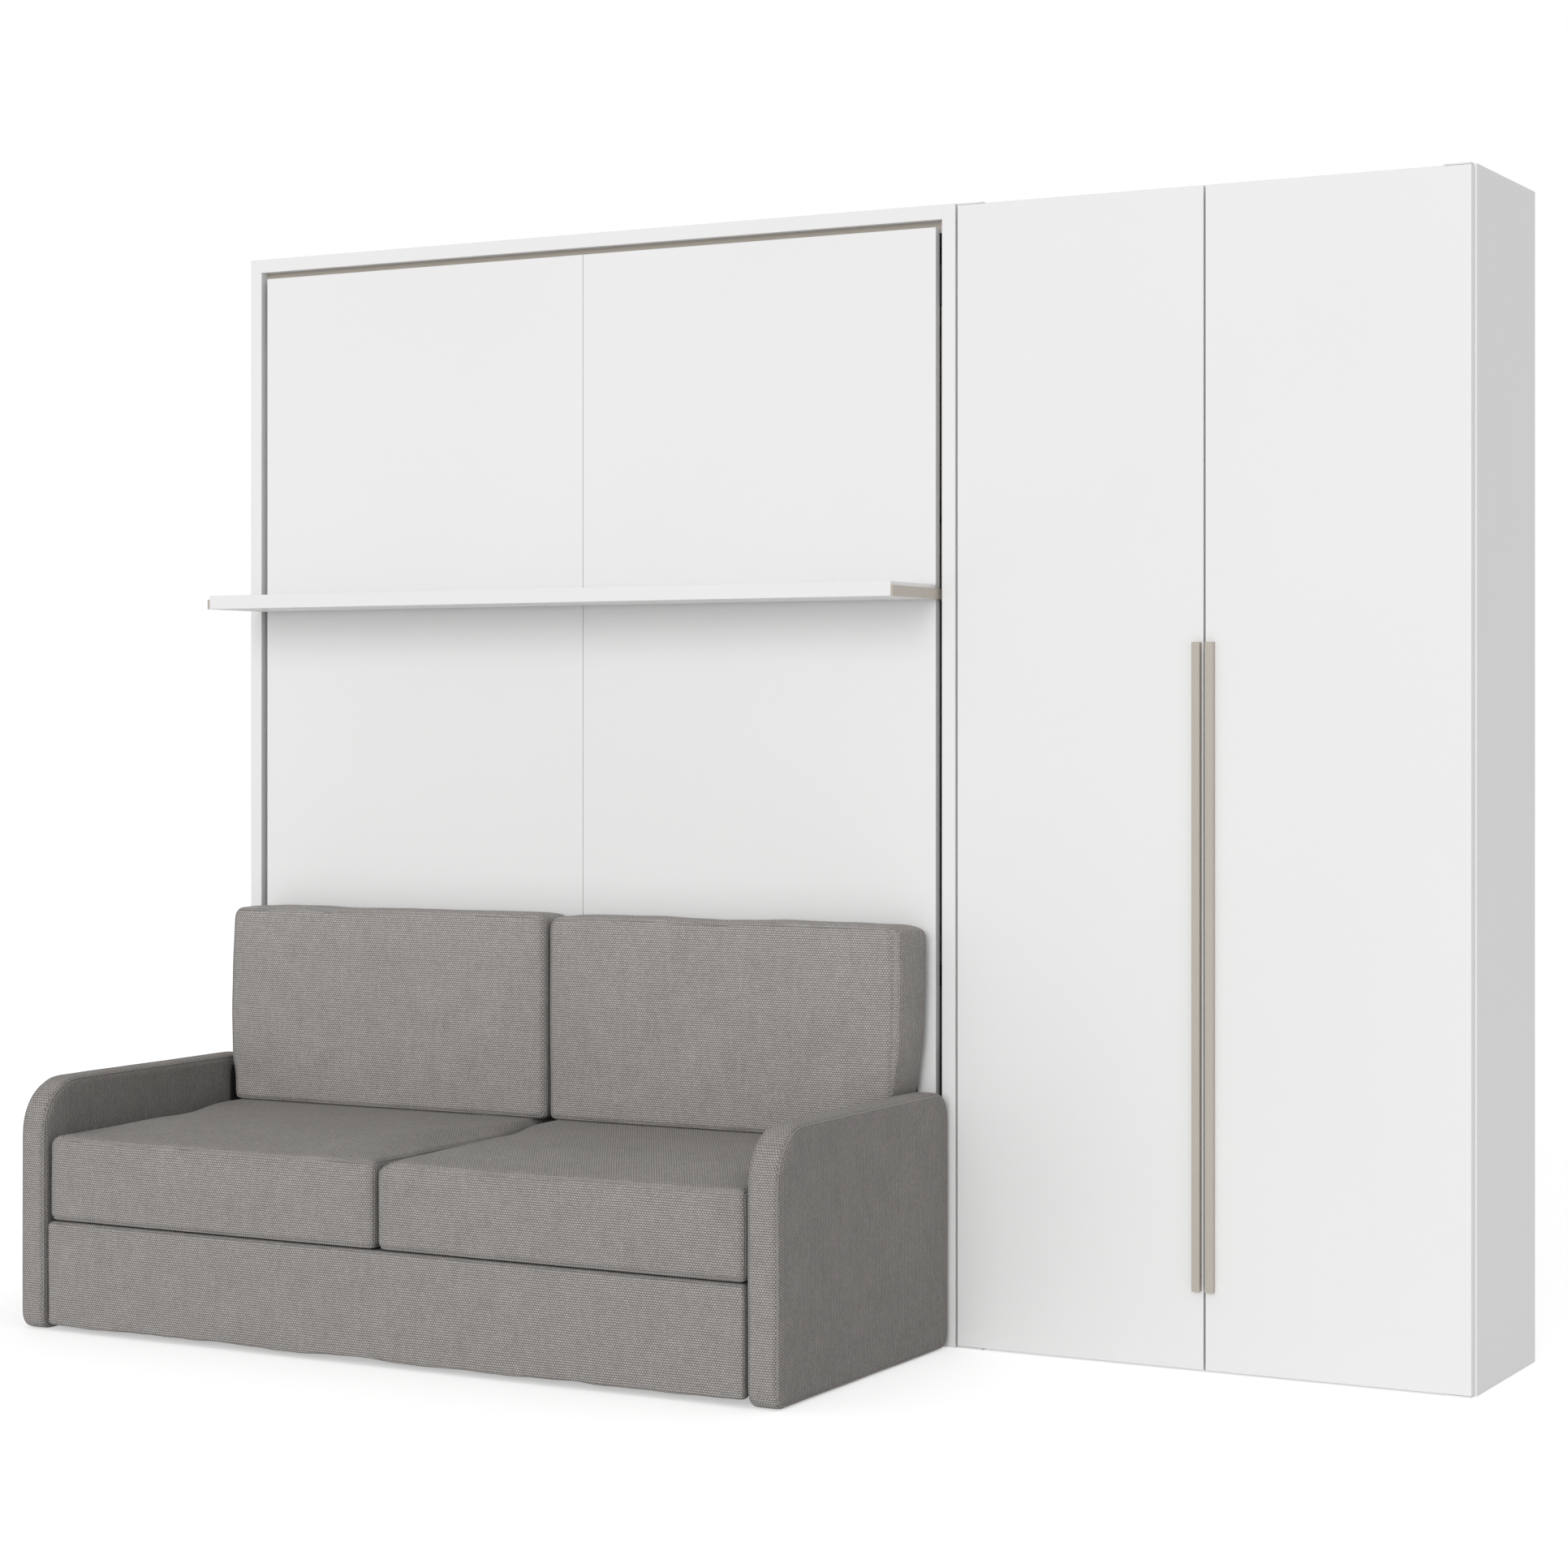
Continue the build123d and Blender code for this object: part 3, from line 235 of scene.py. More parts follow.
def brushed(name, colour, rough, stretch):
    """Bare drawn metal with fine lines along its length."""
    g = Graph(name, rough, metallic=1.0)
    lines = g.noise(1.2, 3.0, stretch=stretch)
    g.colour(g.shade(colour, g.spread(lines, 0.9, 1.08)))
    g.roughness(g.spread(lines, rough - 0.08, rough + 0.08))
    g.bump(lines, 0.03, 0.4)
    return g.material


def wood(name):
    """Birch laminate: long grain along the slat, pores, and the thin dark glue lines of the plies."""
    g = Graph(name, 0.5)
    _, y, z = g.place()
    warp = g.noise(160, 2.0, stretch=(3.0, 1, 1))
    rings = g.math("SINE", g.math("MULTIPLY_ADD", warp, 38.0, g.math("MULTIPLY", z, 0.35)))
    grain = g.math("MULTIPLY_ADD", rings, 0.28, 0.4)
    pores = g.noise(1.1, 2.0, stretch=(22, 1, 1))
    tone = g.math("MULTIPLY_ADD", pores, 0.5, grain, clamp=True)
    line = g.math("LESS_THAN", g.math("PINGPONG", y, PLY_THICK), GLUE_LINE)
    edge = g.math("LESS_THAN", g.facing()[1], 0.5)
    wooden = g.mix(tone, BIRCH_DARK, BIRCH)
    g.colour(g.mix(g.math("MULTIPLY", g.math("MULTIPLY", line, edge), 0.5), wooden, BIRCH_DARK))
    g.roughness(g.spread(pores, 0.42, 0.6))
    g.bump(pores, 0.12, 0.5)
    return g.material


def moulded(name, colour):
    """Injection-moulded plastic with an eroded grain."""
    g = Graph(name, 0.5)
    grain = g.noise(0.8, 3.0)
    g.colour(g.shade(colour, g.spread(g.noise(20, 1.0), 0.9, 1.1)))
    g.roughness(g.spread(grain, 0.42, 0.6))
    g.bump(grain, 0.06, 0.6)
    return g.material


def cells(g, along, across, pitch_along, pitch_across):
    """Bumps laid like bricks: height from 0 to 1, and a random number for each bump."""
    row = g.math("DIVIDE", across, pitch_across)
    row_number = g.math("FLOOR", row)
    row_part = g.math("FRACT", row)
    half = g.math("MULTIPLY", g.math("MODULO", g.math("ABSOLUTE", row_number), 2.0), 0.5)
    step = g.math("ADD", g.math("DIVIDE", along, pitch_along), half)
    step_number = g.math("FLOOR", step)
    step_part = g.math("FRACT", step)

    def arch(part):
        centred = g.math("MULTIPLY_ADD", part, 2.0, -1.0)
        return g.math("SUBTRACT", 1.0, g.math("MULTIPLY", centred, centred))

    height = g.math("MULTIPLY", arch(row_part), arch(step_part))
    dice = g.tree.nodes.new("ShaderNodeTexWhiteNoise")
    dice.noise_dimensions = "2D"
    g.tree.links.new(g.vector(step_number, row_number), dice.inputs["Vector"])
    return height, dice.outputs["Value"]


def laid_on_faces(g):
    """Which way the cloth runs on each face: along and across the rows, in millimetres."""
    x, y, z = g.place()
    face_x, face_y, face_z = g.facing()
    side = g.math("GREATER_THAN", face_x, g.math("MAXIMUM", face_y, face_z))
    top = g.math("GREATER_THAN", face_z, g.math("MAXIMUM", face_x, face_y))
    flat = g.math("MAXIMUM", side, top)

    def choose(picked, first, second):
        return g.math("MULTIPLY_ADD", picked, g.math("SUBTRACT", second, first), first)

    return choose(side, x, z), choose(flat, z, y)


def upholstery(name, lift=1.0):
    """Chunky ribbed weave: rows of small oval bumps, set like bricks, with soft cloudy tone.

    The faces that look sideways along x are made darker, as painted shade.
    """
    g = Graph(name, 0.94, sheen=0.03, specular=0.12)
    along, across = laid_on_faces(g)
    wobble = g.noise(26, 2.0)
    across = g.math("MULTIPLY_ADD", wobble, 2.6, across)
    along = g.math("MULTIPLY_ADD", g.noise(19, 1.0), 2.4, along)
    height, dice = cells(g, along, across, BUMP_PITCH, ROW_PITCH)
    crest = g.math("POWER", height, 0.75)
    yarn = g.noise(0.9, 2.0)
    tone = g.math("MULTIPLY_ADD", g.math("SUBTRACT", yarn, 0.5), 0.30, crest, clamp=True)
    woven = g.mix(tone, FABRIC_DARK, FABRIC_LIGHT)
    clouds = g.noise(60, 3.0, roughness=0.6)
    slubs = g.noise(11, 2.0, stretch=(1, 1, 4.5))
    # a lift above 1 is painted light: the whole cloth is made lighter
    light = g.spread(dice, 0.92 * lift, 1.08 * lift)
    # painted shade: the faces that look sideways along x are made darker
    light = g.math("MULTIPLY", light, g.math("MULTIPLY_ADD", g.facing()[0], SIDE_PAINTED_SHADE - 1.0, 1.0))
    light = g.math("MULTIPLY", light, g.spread(clouds, 0.90, 1.10))
    light = g.math("MULTIPLY", light, g.spread(slubs, 0.91, 1.09))
    g.colour(g.shade(woven, light))
    g.bump(g.math("MULTIPLY_ADD", yarn, 0.15, crest), 1.1, 0.75)
    return g.material


def seam_cloth(name):
    """The turned edge of the same cloth, seen as a fine ribbed line."""
    g = Graph(name, 0.9, sheen=0.1, specular=0.18)
    x, y, z = g.place()
    path = g.math("ADD", g.math("ADD", x, y), z)
    rib = g.math("PINGPONG", path, SEAM_RIB)
    tone = g.math("MULTIPLY_ADD", rib, 0.35, 0.35, clamp=True)
    cloth = g.mix(tone, FABRIC_DARK, SEAM_THREAD)
    g.colour(g.shade(cloth, g.spread(g.noise(60, 2.0), 0.85, 1.15)))
    g.bump(rib, 0.4, 0.6)
    return g.material


def ticking(name):
    """Mattress ticking: a fine damask of small lozenges in two whites."""
    g = Graph(name, 0.85, sheen=0.2, specular=0.2)
    along, across = laid_on_faces(g)
    height, _ = cells(g, along, across, TICKING_LENGTH, TICKING_WIDTH)
    lozenge = g.math("GREATER_THAN", height, 0.35)
    yarn = g.noise(0.8, 2.0)
    tone = g.math("MULTIPLY_ADD", lozenge, 0.55, g.math("MULTIPLY", yarn, 0.45))
    cloth = g.mix(tone, TICKING_DARK, TICKING)
    g.colour(g.shade(cloth, g.spread(g.noise(120, 2.0), 0.95, 1.04)))
    g.bump(g.math("MULTIPLY_ADD", yarn, 0.5, height), 0.5, 0.5)
    return g.material


def webbing(name):
    """Woven strap: herringbone ribs along the strap."""
    g = Graph(name, 0.8, sheen=0.15)
    x, _, z = g.place()
    slant = g.math("PINGPONG", z, STRAP_CHEVRON)
    rib = g.math("PINGPONG", g.math("ADD", x, slant), STRAP_RIB)
    g.colour(g.mix(g.math("DIVIDE", rib, STRAP_RIB), WEBBING_DARK, WEBBING))
    g.bump(rib, 0.4, 0.7)
    return g.material


finishes = {
    "white_board": board("white_board_finish", WHITE_LACQUER, 0.42, 1.1),
    "inner_board": board("inner_board_finish", WHITE_MELAMINE, 0.55, 0.7),
    "taupe_metal": powder_coat("taupe_metal_finish", TAUPE, 0.42),
    "sofa_fabric": upholstery("sofa_fabric_finish"),
    "coated_steel": powder_coat("coated_steel_finish", STEEL_GREY, 0.45, metallic=0.25),
    "bright_steel": brushed("bright_steel_finish", BRIGHT_METAL, 0.3, (1, 1, 14)),
    "rail_chrome": brushed("rail_chrome_finish", CHROME, 0.16, (20, 1, 1)),
    "strut_paint": powder_coat("strut_paint_finish", STRUT_BLACK, 0.32),
    "slat_wood": wood("slat_wood_finish"),
    "moulded_plastic": moulded("moulded_plastic_finish", PLASTIC_GREY),
    "mattress_fabric": ticking("mattress_fabric_finish"),
    "strap_webbing": webbing("strap_webbing_finish"),
}
seam_finish = seam_cloth("seam_finish")
# painted light: the back cushions get a lighter copy of the sofa fabric
back_painted_light_finish = upholstery("back_cushion_painted_light_finish", BACK_PAINTED_LIGHT)
own_finish = {
    # painted shade: the seat deck gets the dark strap webbing in place of its birch, so the gap between
    # seat and skirt looks dark
    "seat_deck": webbing("deck_painted_shade_finish"),
    "door_pivots": powder_coat("white_coat_finish", WHITE_MELAMINE, 0.4),
}

for part in frame["record"]["subparts"]:
    node = frame["nodes"].get(part["node"])
    if node is None:
        continue
    for index in range(len(node.data.materials)):
        node.data.materials[index] = own_finish.get(part["node"], finishes[part["material_slot"]])


# ================================================================ soft goods
BEVEL_SEGMENTS = 4
CORNER_STEPS = 8
LEAST_REACH = 0.0005
CLOTH_STEPS = 20
CLOTH_STIFFNESS = 12.0
CLOTH_BENDING = 0.4
CLOTH_MASS = 0.3
THREAD_SIDES = 6
SEAM_STEP = 0.006
CUSHION_PRESSURE = 4.0
MATTRESS_PRESSURE = 3.0
SEAT_VOXEL = 0.0072
BACK_VOXEL = 0.0065
ARM_VOXEL = 0.006
SKIRT_VOXEL = 0.005
MATTRESS_VOXEL = 0.018


def new_object(name, mesh):
    made = bpy.data.objects.new(name, mesh)
    bpy.context.scene.collection.objects.link(made)
    return made


def applied(obj):
    """Turns what obj's modifiers make into its mesh; the modifiers are then gone."""
    bpy.context.view_layer.update()
    graph = bpy.context.evaluated_depsgraph_get()
    mesh = bpy.data.meshes.new_from_object(obj.evaluated_get(graph))
    old = obj.data
    obj.modifiers.clear()
    obj.data = mesh
    bpy.data.meshes.remove(old)


def block(name, low, high, radius):
    """A box with rounded edges between two corners, in metres."""
    shape = bmesh.new()
    bmesh.ops.create_cube(shape, size=1.0)
    low, high = Vector(low), Vector(high)
    size, middle = high - low, (low + high) / 2
    for v in shape.verts:
        v.co = Vector(v.co[i] * size[i] + middle[i] for i in range(3))
    bmesh.ops.bevel(
        shape,
        geom=shape.edges[:],
        offset=radius,
        segments=BEVEL_SEGMENTS,
        profile=0.5,
        affect="EDGES",
    )
    mesh = bpy.data.meshes.new(name)
    shape.to_mesh(mesh)
    shape.free()
    return new_object(name, mesh)


def outline(low, high, radii, inset=0.0):
    """Points round a rectangle, as pairs.

    radii are those of its corners: upper right, upper left, lower left and lower right.
    """
    corners = (
        (high[0], high[1], -1, -1, radii[0], 0),
        (low[0], high[1], 1, -1, radii[1], 90),
        (low[0], low[1], 1, 1, radii[2], 180),
        (high[0], low[1], -1, 1, radii[3], 270),
    )
    points = []
    for x, y, to_x, to_y, radius, turn in corners:
        radius = max(radius, inset + LEAST_REACH)
        reach = radius - inset
        centre = (x + to_x * radius, y + to_y * radius)
        for k in range(CORNER_STEPS + 1):
            angle = math.radians(turn + 90 * k / CORNER_STEPS)
            points.append((centre[0] + reach * math.cos(angle), centre[1] + reach * math.sin(angle)))
    return points


def slab(name, points, thickness_axis, start, end, edge_start, edge_end):
    """A plate of that outline between two levels of an axis, each rim rounded by its own radius."""
    shape = bmesh.new()

    def at(pair, level):
        if thickness_axis == 2:
            return (pair[0], pair[1], level)
        if thickness_axis == 1:
            return (pair[0], level, pair[1])
        return (level, pair[0], pair[1])

    rims = [[shape.verts.new(at(pair, level)) for pair in points] for level in (start, end)]
    shape.faces.new(rims[0])
    shape.faces.new(rims[1])
    count = len(points)
    for k in range(count):
        j = (k + 1) % count
        shape.faces.new((rims[0][k], rims[0][j], rims[1][j], rims[1][k]))
    bmesh.ops.recalc_face_normals(shape, faces=shape.faces[:])

    def lies_at(edge, level):
        return all(abs(v.co[thickness_axis] - level) < 1e-6 for v in edge.verts)

    for level, radius in ((start, edge_start), (end, edge_end)):
        rim = [e for e in shape.edges if lies_at(e, level)]
        bmesh.ops.bevel(
            shape,
            geom=rim,
            offset=radius,
            segments=BEVEL_SEGMENTS,
            profile=0.5,
            affect="EDGES",
        )
    mesh = bpy.data.meshes.new(name)
    shape.to_mesh(mesh)
    shape.free()
    return new_object(name, mesh)


def remesh(obj, voxel):
    modifier = obj.modifiers.new("remesh", "REMESH")
    modifier.mode = "VOXEL"
    modifier.voxel_size = voxel
    applied(obj)


def smooth(obj, times):
    modifier = obj.modifiers.new("smooth", "SMOOTH")
    modifier.iterations = times
    modifier.factor = 0.5
    applied(obj)


def subdivide(obj):
    modifier = obj.modifiers.new("subdivide", "SUBSURF")
    modifier.levels = modifier.render_levels = 1
    applied(obj)
    for polygon in obj.data.polygons:
        polygon.use_smooth = True


def gaps_to_box(co, low, high):
    """How far a point is from the box's nearer face along each axis, smallest first."""
    return sorted(min(co[i] - low[i], high[i] - co[i]) for i in range(3))


def inflate(obj, pressure, cap, held):
    """Cloth simulation with pressure inside. held(co) is how firmly a point stays, from 0 to 1."""
    start = [v.co.copy() for v in obj.data.vertices]
    group = obj.vertex_groups.new(name="held")
    for i, co in enumerate(start):
        weight = held(co)
        if weight > 0:
            group.add([i], weight, "REPLACE")
    cloth = obj.modifiers.new("cloth", "CLOTH")
    settings = cloth.settings
    settings.quality = 5
    settings.mass = CLOTH_MASS
    settings.tension_stiffness = settings.compression_stiffness = CLOTH_STIFFNESS
    settings.shear_stiffness = CLOTH_STIFFNESS / 2
    settings.bending_stiffness = CLOTH_BENDING
    settings.vertex_group_mass = "held"
    settings.use_pressure = True
    settings.uniform_pressure_force = pressure
    settings.effector_weights.gravity = 0
    cloth.collision_settings.use_collision = False
    cloth.point_cache.frame_start = 1
    cloth.point_cache.frame_end = CLOTH_STEPS
    for step in range(1, CLOTH_STEPS + 1):
        bpy.context.scene.frame_set(step)
    applied(obj)
    obj.vertex_groups.clear()
    for v, before in zip(obj.data.vertices, start):
        moved = v.co - before
        if moved.length > cap:
            v.co = before + moved.normalized() * cap
    bpy.context.scene.frame_set(1)


def soft_step(value, low, high):
    t = max(0.0, min(1.0, (value - low) / (high - low)))
    return t * t * (3 - 2 * t)


def drift(co, size, seed):
    """Smooth noise from -1 to 1 with features about size metres wide."""
    return noise.noise(Vector((co[0] / size + seed, co[1] / size - seed, co[2] / size + 2 * seed)))


def ripples(co, seed, layers):
    """Smooth noise in layers of (height, size, step of seed), in metres."""
    return sum(height * drift(co, size, seed + step) for height, size, step in layers)


def reshape(obj, move):
    """Moves every vertex to move(place, normal)."""
    normals = [v.normal.copy() for v in obj.data.vertices]
    for v, normal in zip(obj.data.vertices, normals):
        v.co = move(v.co.copy(), normal)
    obj.data.update()


def densified(points, step):
    """The closed line through points, with a point about every step."""
    made = []
    for a, b in zip(points, points[1:] + points[:1]):
        length = math.dist(a, b)
        count = max(1, round(length / step))
        for k in range(count):
            t = k / count
            made.append(tuple(p + (q - p) * t for p, q in zip(a, b)))
    return made


def sewn(obj, loops, groove=0.0022, reach=0.0075, thread=0.0013, lift=0.0006):
    """Presses a groove along each closed loop of points, and lays the turned edge of the cloth in it."""
    tree = BVHTree.FromObject(obj, bpy.context.evaluated_depsgraph_get())
    seams = []
    for loop in loops:
        found = [tree.find_nearest(Vector(p)) for p in loop]
        seams.append([(place, normal) for place, normal, *_ in found])
    places = [place for seam in seams for place, _ in seam]
    kd = KDTree(len(places))
    for index, place in enumerate(places):
        kd.insert(place, index)
    kd.balance()

    def press(co, normal):
        _, _, gap = kd.find(co)
        if gap >= reach:
            return co
        return co - normal * groove * (1 - (gap / reach) ** 2)

    reshape(obj, press)
    shape = bmesh.new()
    shape.from_mesh(obj.data)
    first = len(obj.data.materials)
    obj.data.materials.append(seam_finish)
    for seam in seams:
        rings = []
        total = len(seam)
        centres = [p - n * (groove - lift) for p, n in seam]
        for _ in range(3):
            centres = [
                (centres[k - 1] + centres[k] * 2 + centres[(k + 1) % total]) / 4 for k in range(total)
            ]
        for k in range(total):
            ahead = (centres[(k + 1) % total] - centres[k - 1]).normalized()
            up = (seam[k][1] - ahead * seam[k][1].dot(ahead)).normalized()
            out = ahead.cross(up)
            ring = []
            for s in range(THREAD_SIDES):
                angle = 2 * math.pi * s / THREAD_SIDES
                offset = out * math.cos(angle) + up * math.sin(angle)
                ring.append(shape.verts.new(centres[k] + offset * thread))
            rings.append(ring)
        for k in range(total):
            here, there = rings[k], rings[(k + 1) % total]
            for s in range(THREAD_SIDES):
                t = (s + 1) % THREAD_SIDES
                face = shape.faces.new((here[s], here[t], there[t], there[s]))
                face.material_index = first
                face.smooth = True
    shape.to_mesh(obj.data)
    shape.free()
    obj.data.update()


def finished(obj, node, body):
    """Hides the part that the piece stands for, and hangs the piece on the body it rides on."""
    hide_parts(node)
    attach(obj, body)


def dressed(obj, finish):
    obj.data.materials.clear()
    obj.data.materials.append(finish)


# ---------------------------------------------------------------- seat cushions
SEAT_CORNERS = (0.016, 0.016, 0.014, 0.014)
SEAT_CLEAR_LEFT, SEAT_CLEAR_RIGHT, SEAT_CLEAR_FRONT = 0.0015, 0.0012, 0.002
SEAT_HELD_RIM, SEAT_HELD_FOOT, SEAT_CAP = 0.013, 0.003, 0.012
SEAT_TOP_EDGE = 0.015
SEAT_FOOT_EDGE = 0.007
SEAT_FRONT_TOP = 0.381
SEAT_LIFT = 0.0025
SEAT_CROWN_TOP = 0.3975
SEAM_INSET = 0.29
SEAT_SOLE = 0.08
SEAT_REAR = (-0.20, 0.0)
CROWN_SIDE, CROWN_SIDE_LESS = 0.10, 0.07
CROWN_FRONT = (0.010, 0.26)
CROWN_LESS, CROWN_REAR = 0.007, 0.009
SPLIT_WIDTH = (0.002, 0.040)
SPLIT_DIP, SPLIT_RISE = 0.008, 0.002
FRONT_BOW = 0.0015
NOTCH_FRONT = (-0.047, -0.037)
NOTCH_LEFT, NOTCH_RIGHT = 0.0142, 0.0095
SIDE_GAP = 0.0002
SEAT_TOP_RIPPLES = ((0.0024, 0.17, 0), (0.0010, 0.05, 3))
SEAT_FRONT_RIPPLES = ((0.0020, 0.14, 5), (0.0008, 0.045, 7))


def seat_cushion(side, seed):
    """A boxed foam cushion with a crowned top, a soft front and sewn rims."""
    node = f"seat_cushion_{side}"
    box_low, box_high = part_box(node)
    low, high = box_low.copy(), box_high.copy()
    low.x += SEAT_CLEAR_LEFT
    high.x -= SEAT_CLEAR_RIGHT
    low.y += SEAT_CLEAR_FRONT
    low.z += SEAT_LIFT
    high.z = SEAT_FRONT_TOP
    obj = slab(
        f"{node}_cover",
        outline(low, high, SEAT_CORNERS),
        2,
        low.z,
        high.z,
        SEAT_FOOT_EDGE,
        SEAT_TOP_EDGE,
    )
    remesh(obj, SEAT_VOXEL)

    def held(co):
        near_rim = gaps_to_box(co, low, high)[1] < SEAT_HELD_RIM
        return 1.0 if near_rim or co.z < low.z + SEAT_HELD_FOOT else 0.0

    inflate(obj, CUSHION_PRESSURE, SEAT_CAP, held)
    smooth(obj, 2)

    def shape(co, normal):
        u = max(0.0, min(1.0, (co.x - low.x) / (high.x - low.x)))
        edge = min(co.x - low.x, high.x - co.x)
        rear = soft_step(co.y, *SEAT_REAR)
        rise = soft_step(edge, 0.0, CROWN_SIDE - CROWN_SIDE_LESS * rear)
        rise *= soft_step(co.y - low.y, *CROWN_FRONT)
        if co.z > low.z + SEAT_SOLE:
            part = (co.z - low.z) / (high.z - low.z)
            co.z += (SEAT_CROWN_TOP - high.z - CROWN_LESS + CROWN_REAR * rear) * rise * part
            co.z += ripples(co, seed, SEAT_TOP_RIPPLES) * part
            if side == "right":
                co.z -= SPLIT_DIP * (1 - soft_step(co.x - low.x, *SPLIT_WIDTH)) * part
            else:
                co.z += SPLIT_RISE * (1 - soft_step(high.x - co.x, *SPLIT_WIDTH)) * part
        if normal.y < -0.3:
            co.y += ripples(co, seed, SEAT_FRONT_RIPPLES)
            co.y -= FRONT_BOW * math.sin(math.pi * u)
        co.z = min(co.z, SEAT_CROWN_TOP + 0.001)
        co.z = max(co.z, box_low.z - 0.0008)
        co.x = min(max(co.x, box_low.x + SIDE_GAP), box_high.x - SIDE_GAP)
        # clear of the pivot support that stands beside the cushion's rear corner
        notch = soft_step(co.y, *NOTCH_FRONT)
        if side == "left":
            co.x = max(co.x, box_low.x + NOTCH_LEFT * notch)
        else:
            co.x = min(co.x, box_high.x - NOTCH_RIGHT * notch)
        co.y = min(co.y, box_high.y)
        return co

    reshape(obj, shape)
    subdivide(obj)
    dressed(obj, finishes["sofa_fabric"])
    loops = []
    for level, edge, sign in ((high.z, SEAT_TOP_EDGE, -1), (low.z, SEAT_FOOT_EDGE, 1)):
        inset = SEAM_INSET * edge
        path = densified(outline(low, high, SEAT_CORNERS, inset), SEAM_STEP)
        loops.append([(x, y, level + sign * inset) for x, y in path])
    sewn(obj, loops)
    finished(obj, node, "cabinet")
    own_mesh(obj)


# ---------------------------------------------------------------- back cushions
BACK_CORNERS = (0.022, 0.022, 0.013, 0.013)
BACK_FRONT_EDGE = 0.009
BACK_REAR_EDGE = 0.014
BACK_FOOT = 0.3975
BACK_FRONT = 0.033
BACK_CLEAR_SIDE, BACK_CLEAR_REAR, BACK_RISE = 0.0025, 0.003, 0.004
BACK_HELD_RIM, BACK_CAP = 0.012, 0.014
BACK_WAVE_BAND = 0.08
# share of the lean, and the heights between which it comes in
LEAN_STEPS = ((0.72, 0.442, 0.498), (0.28, 0.49, 0.72))
RIGHT_REACH = 0.291
RIGHT_FRONT_EASE = 0.013
RIGHT_BULGE, RIGHT_BULGE_HEIGHTS = 0.012, (0.46, 0.60)
LEFT_REACH = -1.2875
LEFT_EASE, LEFT_EASE_HEIGHTS = 0.7, (0.55, 0.78)
BACK_FRONT_RIPPLES = ((0.0026, 0.17, 0), (0.0010, 0.05, 3))
BACK_TOP_RIPPLES = ((0.0040, 0.17, 9), (0.0012, 0.06, 4))


def back_cushion(side, seed):
    """A boxed back cushion, squeezed between the arms and free above them, with sewn rims."""
    node = f"back_cushion_{side}"
    box_low, box_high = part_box(node)
    low, high = box_low.copy(), box_high.copy()
    low.x += BACK_CLEAR_SIDE
    high.x -= BACK_CLEAR_SIDE
    low.y = BACK_FRONT
    high.y -= BACK_CLEAR_REAR
    low.z = BACK_FOOT
    high.z += BACK_RISE
    width = high.x - low.x
    obj = slab(
        f"{node}_cover",
        outline((low.x, low.z), (high.x, high.z), BACK_CORNERS),
        1,
        low.y,
        high.y,
        BACK_FRONT_EDGE,
        BACK_REAR_EDGE,
    )
    remesh(obj, BACK_VOXEL)

    def held(co):
        return 1.0 if gaps_to_box(co, low, high)[1] < BACK_HELD_RIM else 0.0

    inflate(obj, CUSHION_PRESSURE, BACK_CAP, held)
    smooth(obj, 2)

    def widened(x, y, z):
        """The cushion leans out over the arm beside it, on the right most at its rear."""
        over = sum(share * soft_step(z, start, end) for share, start, end in LEAN_STEPS)
        if side == "right":
            reach = RIGHT_REACH - high.x - RIGHT_FRONT_EASE * (high.y - y) / (high.y - low.y)
            return x + reach * over * max(0.0, (x - low.x) / width) ** 2
        near = over * (1 - LEFT_EASE * soft_step(z, *LEFT_EASE_HEIGHTS))
        return x - (low.x - LEFT_REACH) * near * max(0.0, (high.x - x) / width) ** 2

    def shape(co, normal):
        rest = co.z
        if normal.y < -0.2:
            co.y += ripples(co, seed, BACK_FRONT_RIPPLES)
        if co.z > high.z - BACK_WAVE_BAND:
            wave = ripples((co.x, 0, 0), seed, BACK_TOP_RIPPLES)
            co.z += wave * soft_step(co.z, high.z - BACK_WAVE_BAND, high.z)
        co.x = min(max(co.x, box_low.x), box_high.x)
        co.x = widened(co.x, co.y, rest)
        if side == "right":
            bulge = RIGHT_BULGE * soft_step(normal.x, 0.3, 0.9)
            co.x += bulge * soft_step(rest, *RIGHT_BULGE_HEIGHTS)
        co.y = min(co.y, box_high.y - 0.0005)
        co.z = max(co.z, BACK_FOOT - 0.001)
        return co

    reshape(obj, shape)
    subdivide(obj)
    dressed(obj, back_painted_light_finish)
    loops = []
    for level, edge, sign in ((low.y, BACK_FRONT_EDGE, 1), (high.y, BACK_REAR_EDGE, -1)):
        inset = SEAM_INSET * edge
        path = densified(outline((low.x, low.z), (high.x, high.z), BACK_CORNERS, inset), SEAM_STEP)
        loops.append([(widened(x, level, z), level + sign * inset, z) for x, z in path])
    sewn(obj, loops)
    finished(obj, node, "bed")
    if side == "right":
        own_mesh(obj)


# ---------------------------------------------------------------- sofa arms
ARM_EDGE = 0.012
ARM_INSET = 0.0035
ARM_GROOVE = 0.0012
ARM_OUTER_EASE = 0.005
ARM_HOLLOW, ARM_HOLLOW_WIDTH = 0.0022, (0.012, 0.090)
ARM_SIDE_RIPPLE, ARM_BAND_RIPPLE = 0.0012, 0.0010
ARM_CORNERS = (0.045, 0.105, 0.028, 0.028)


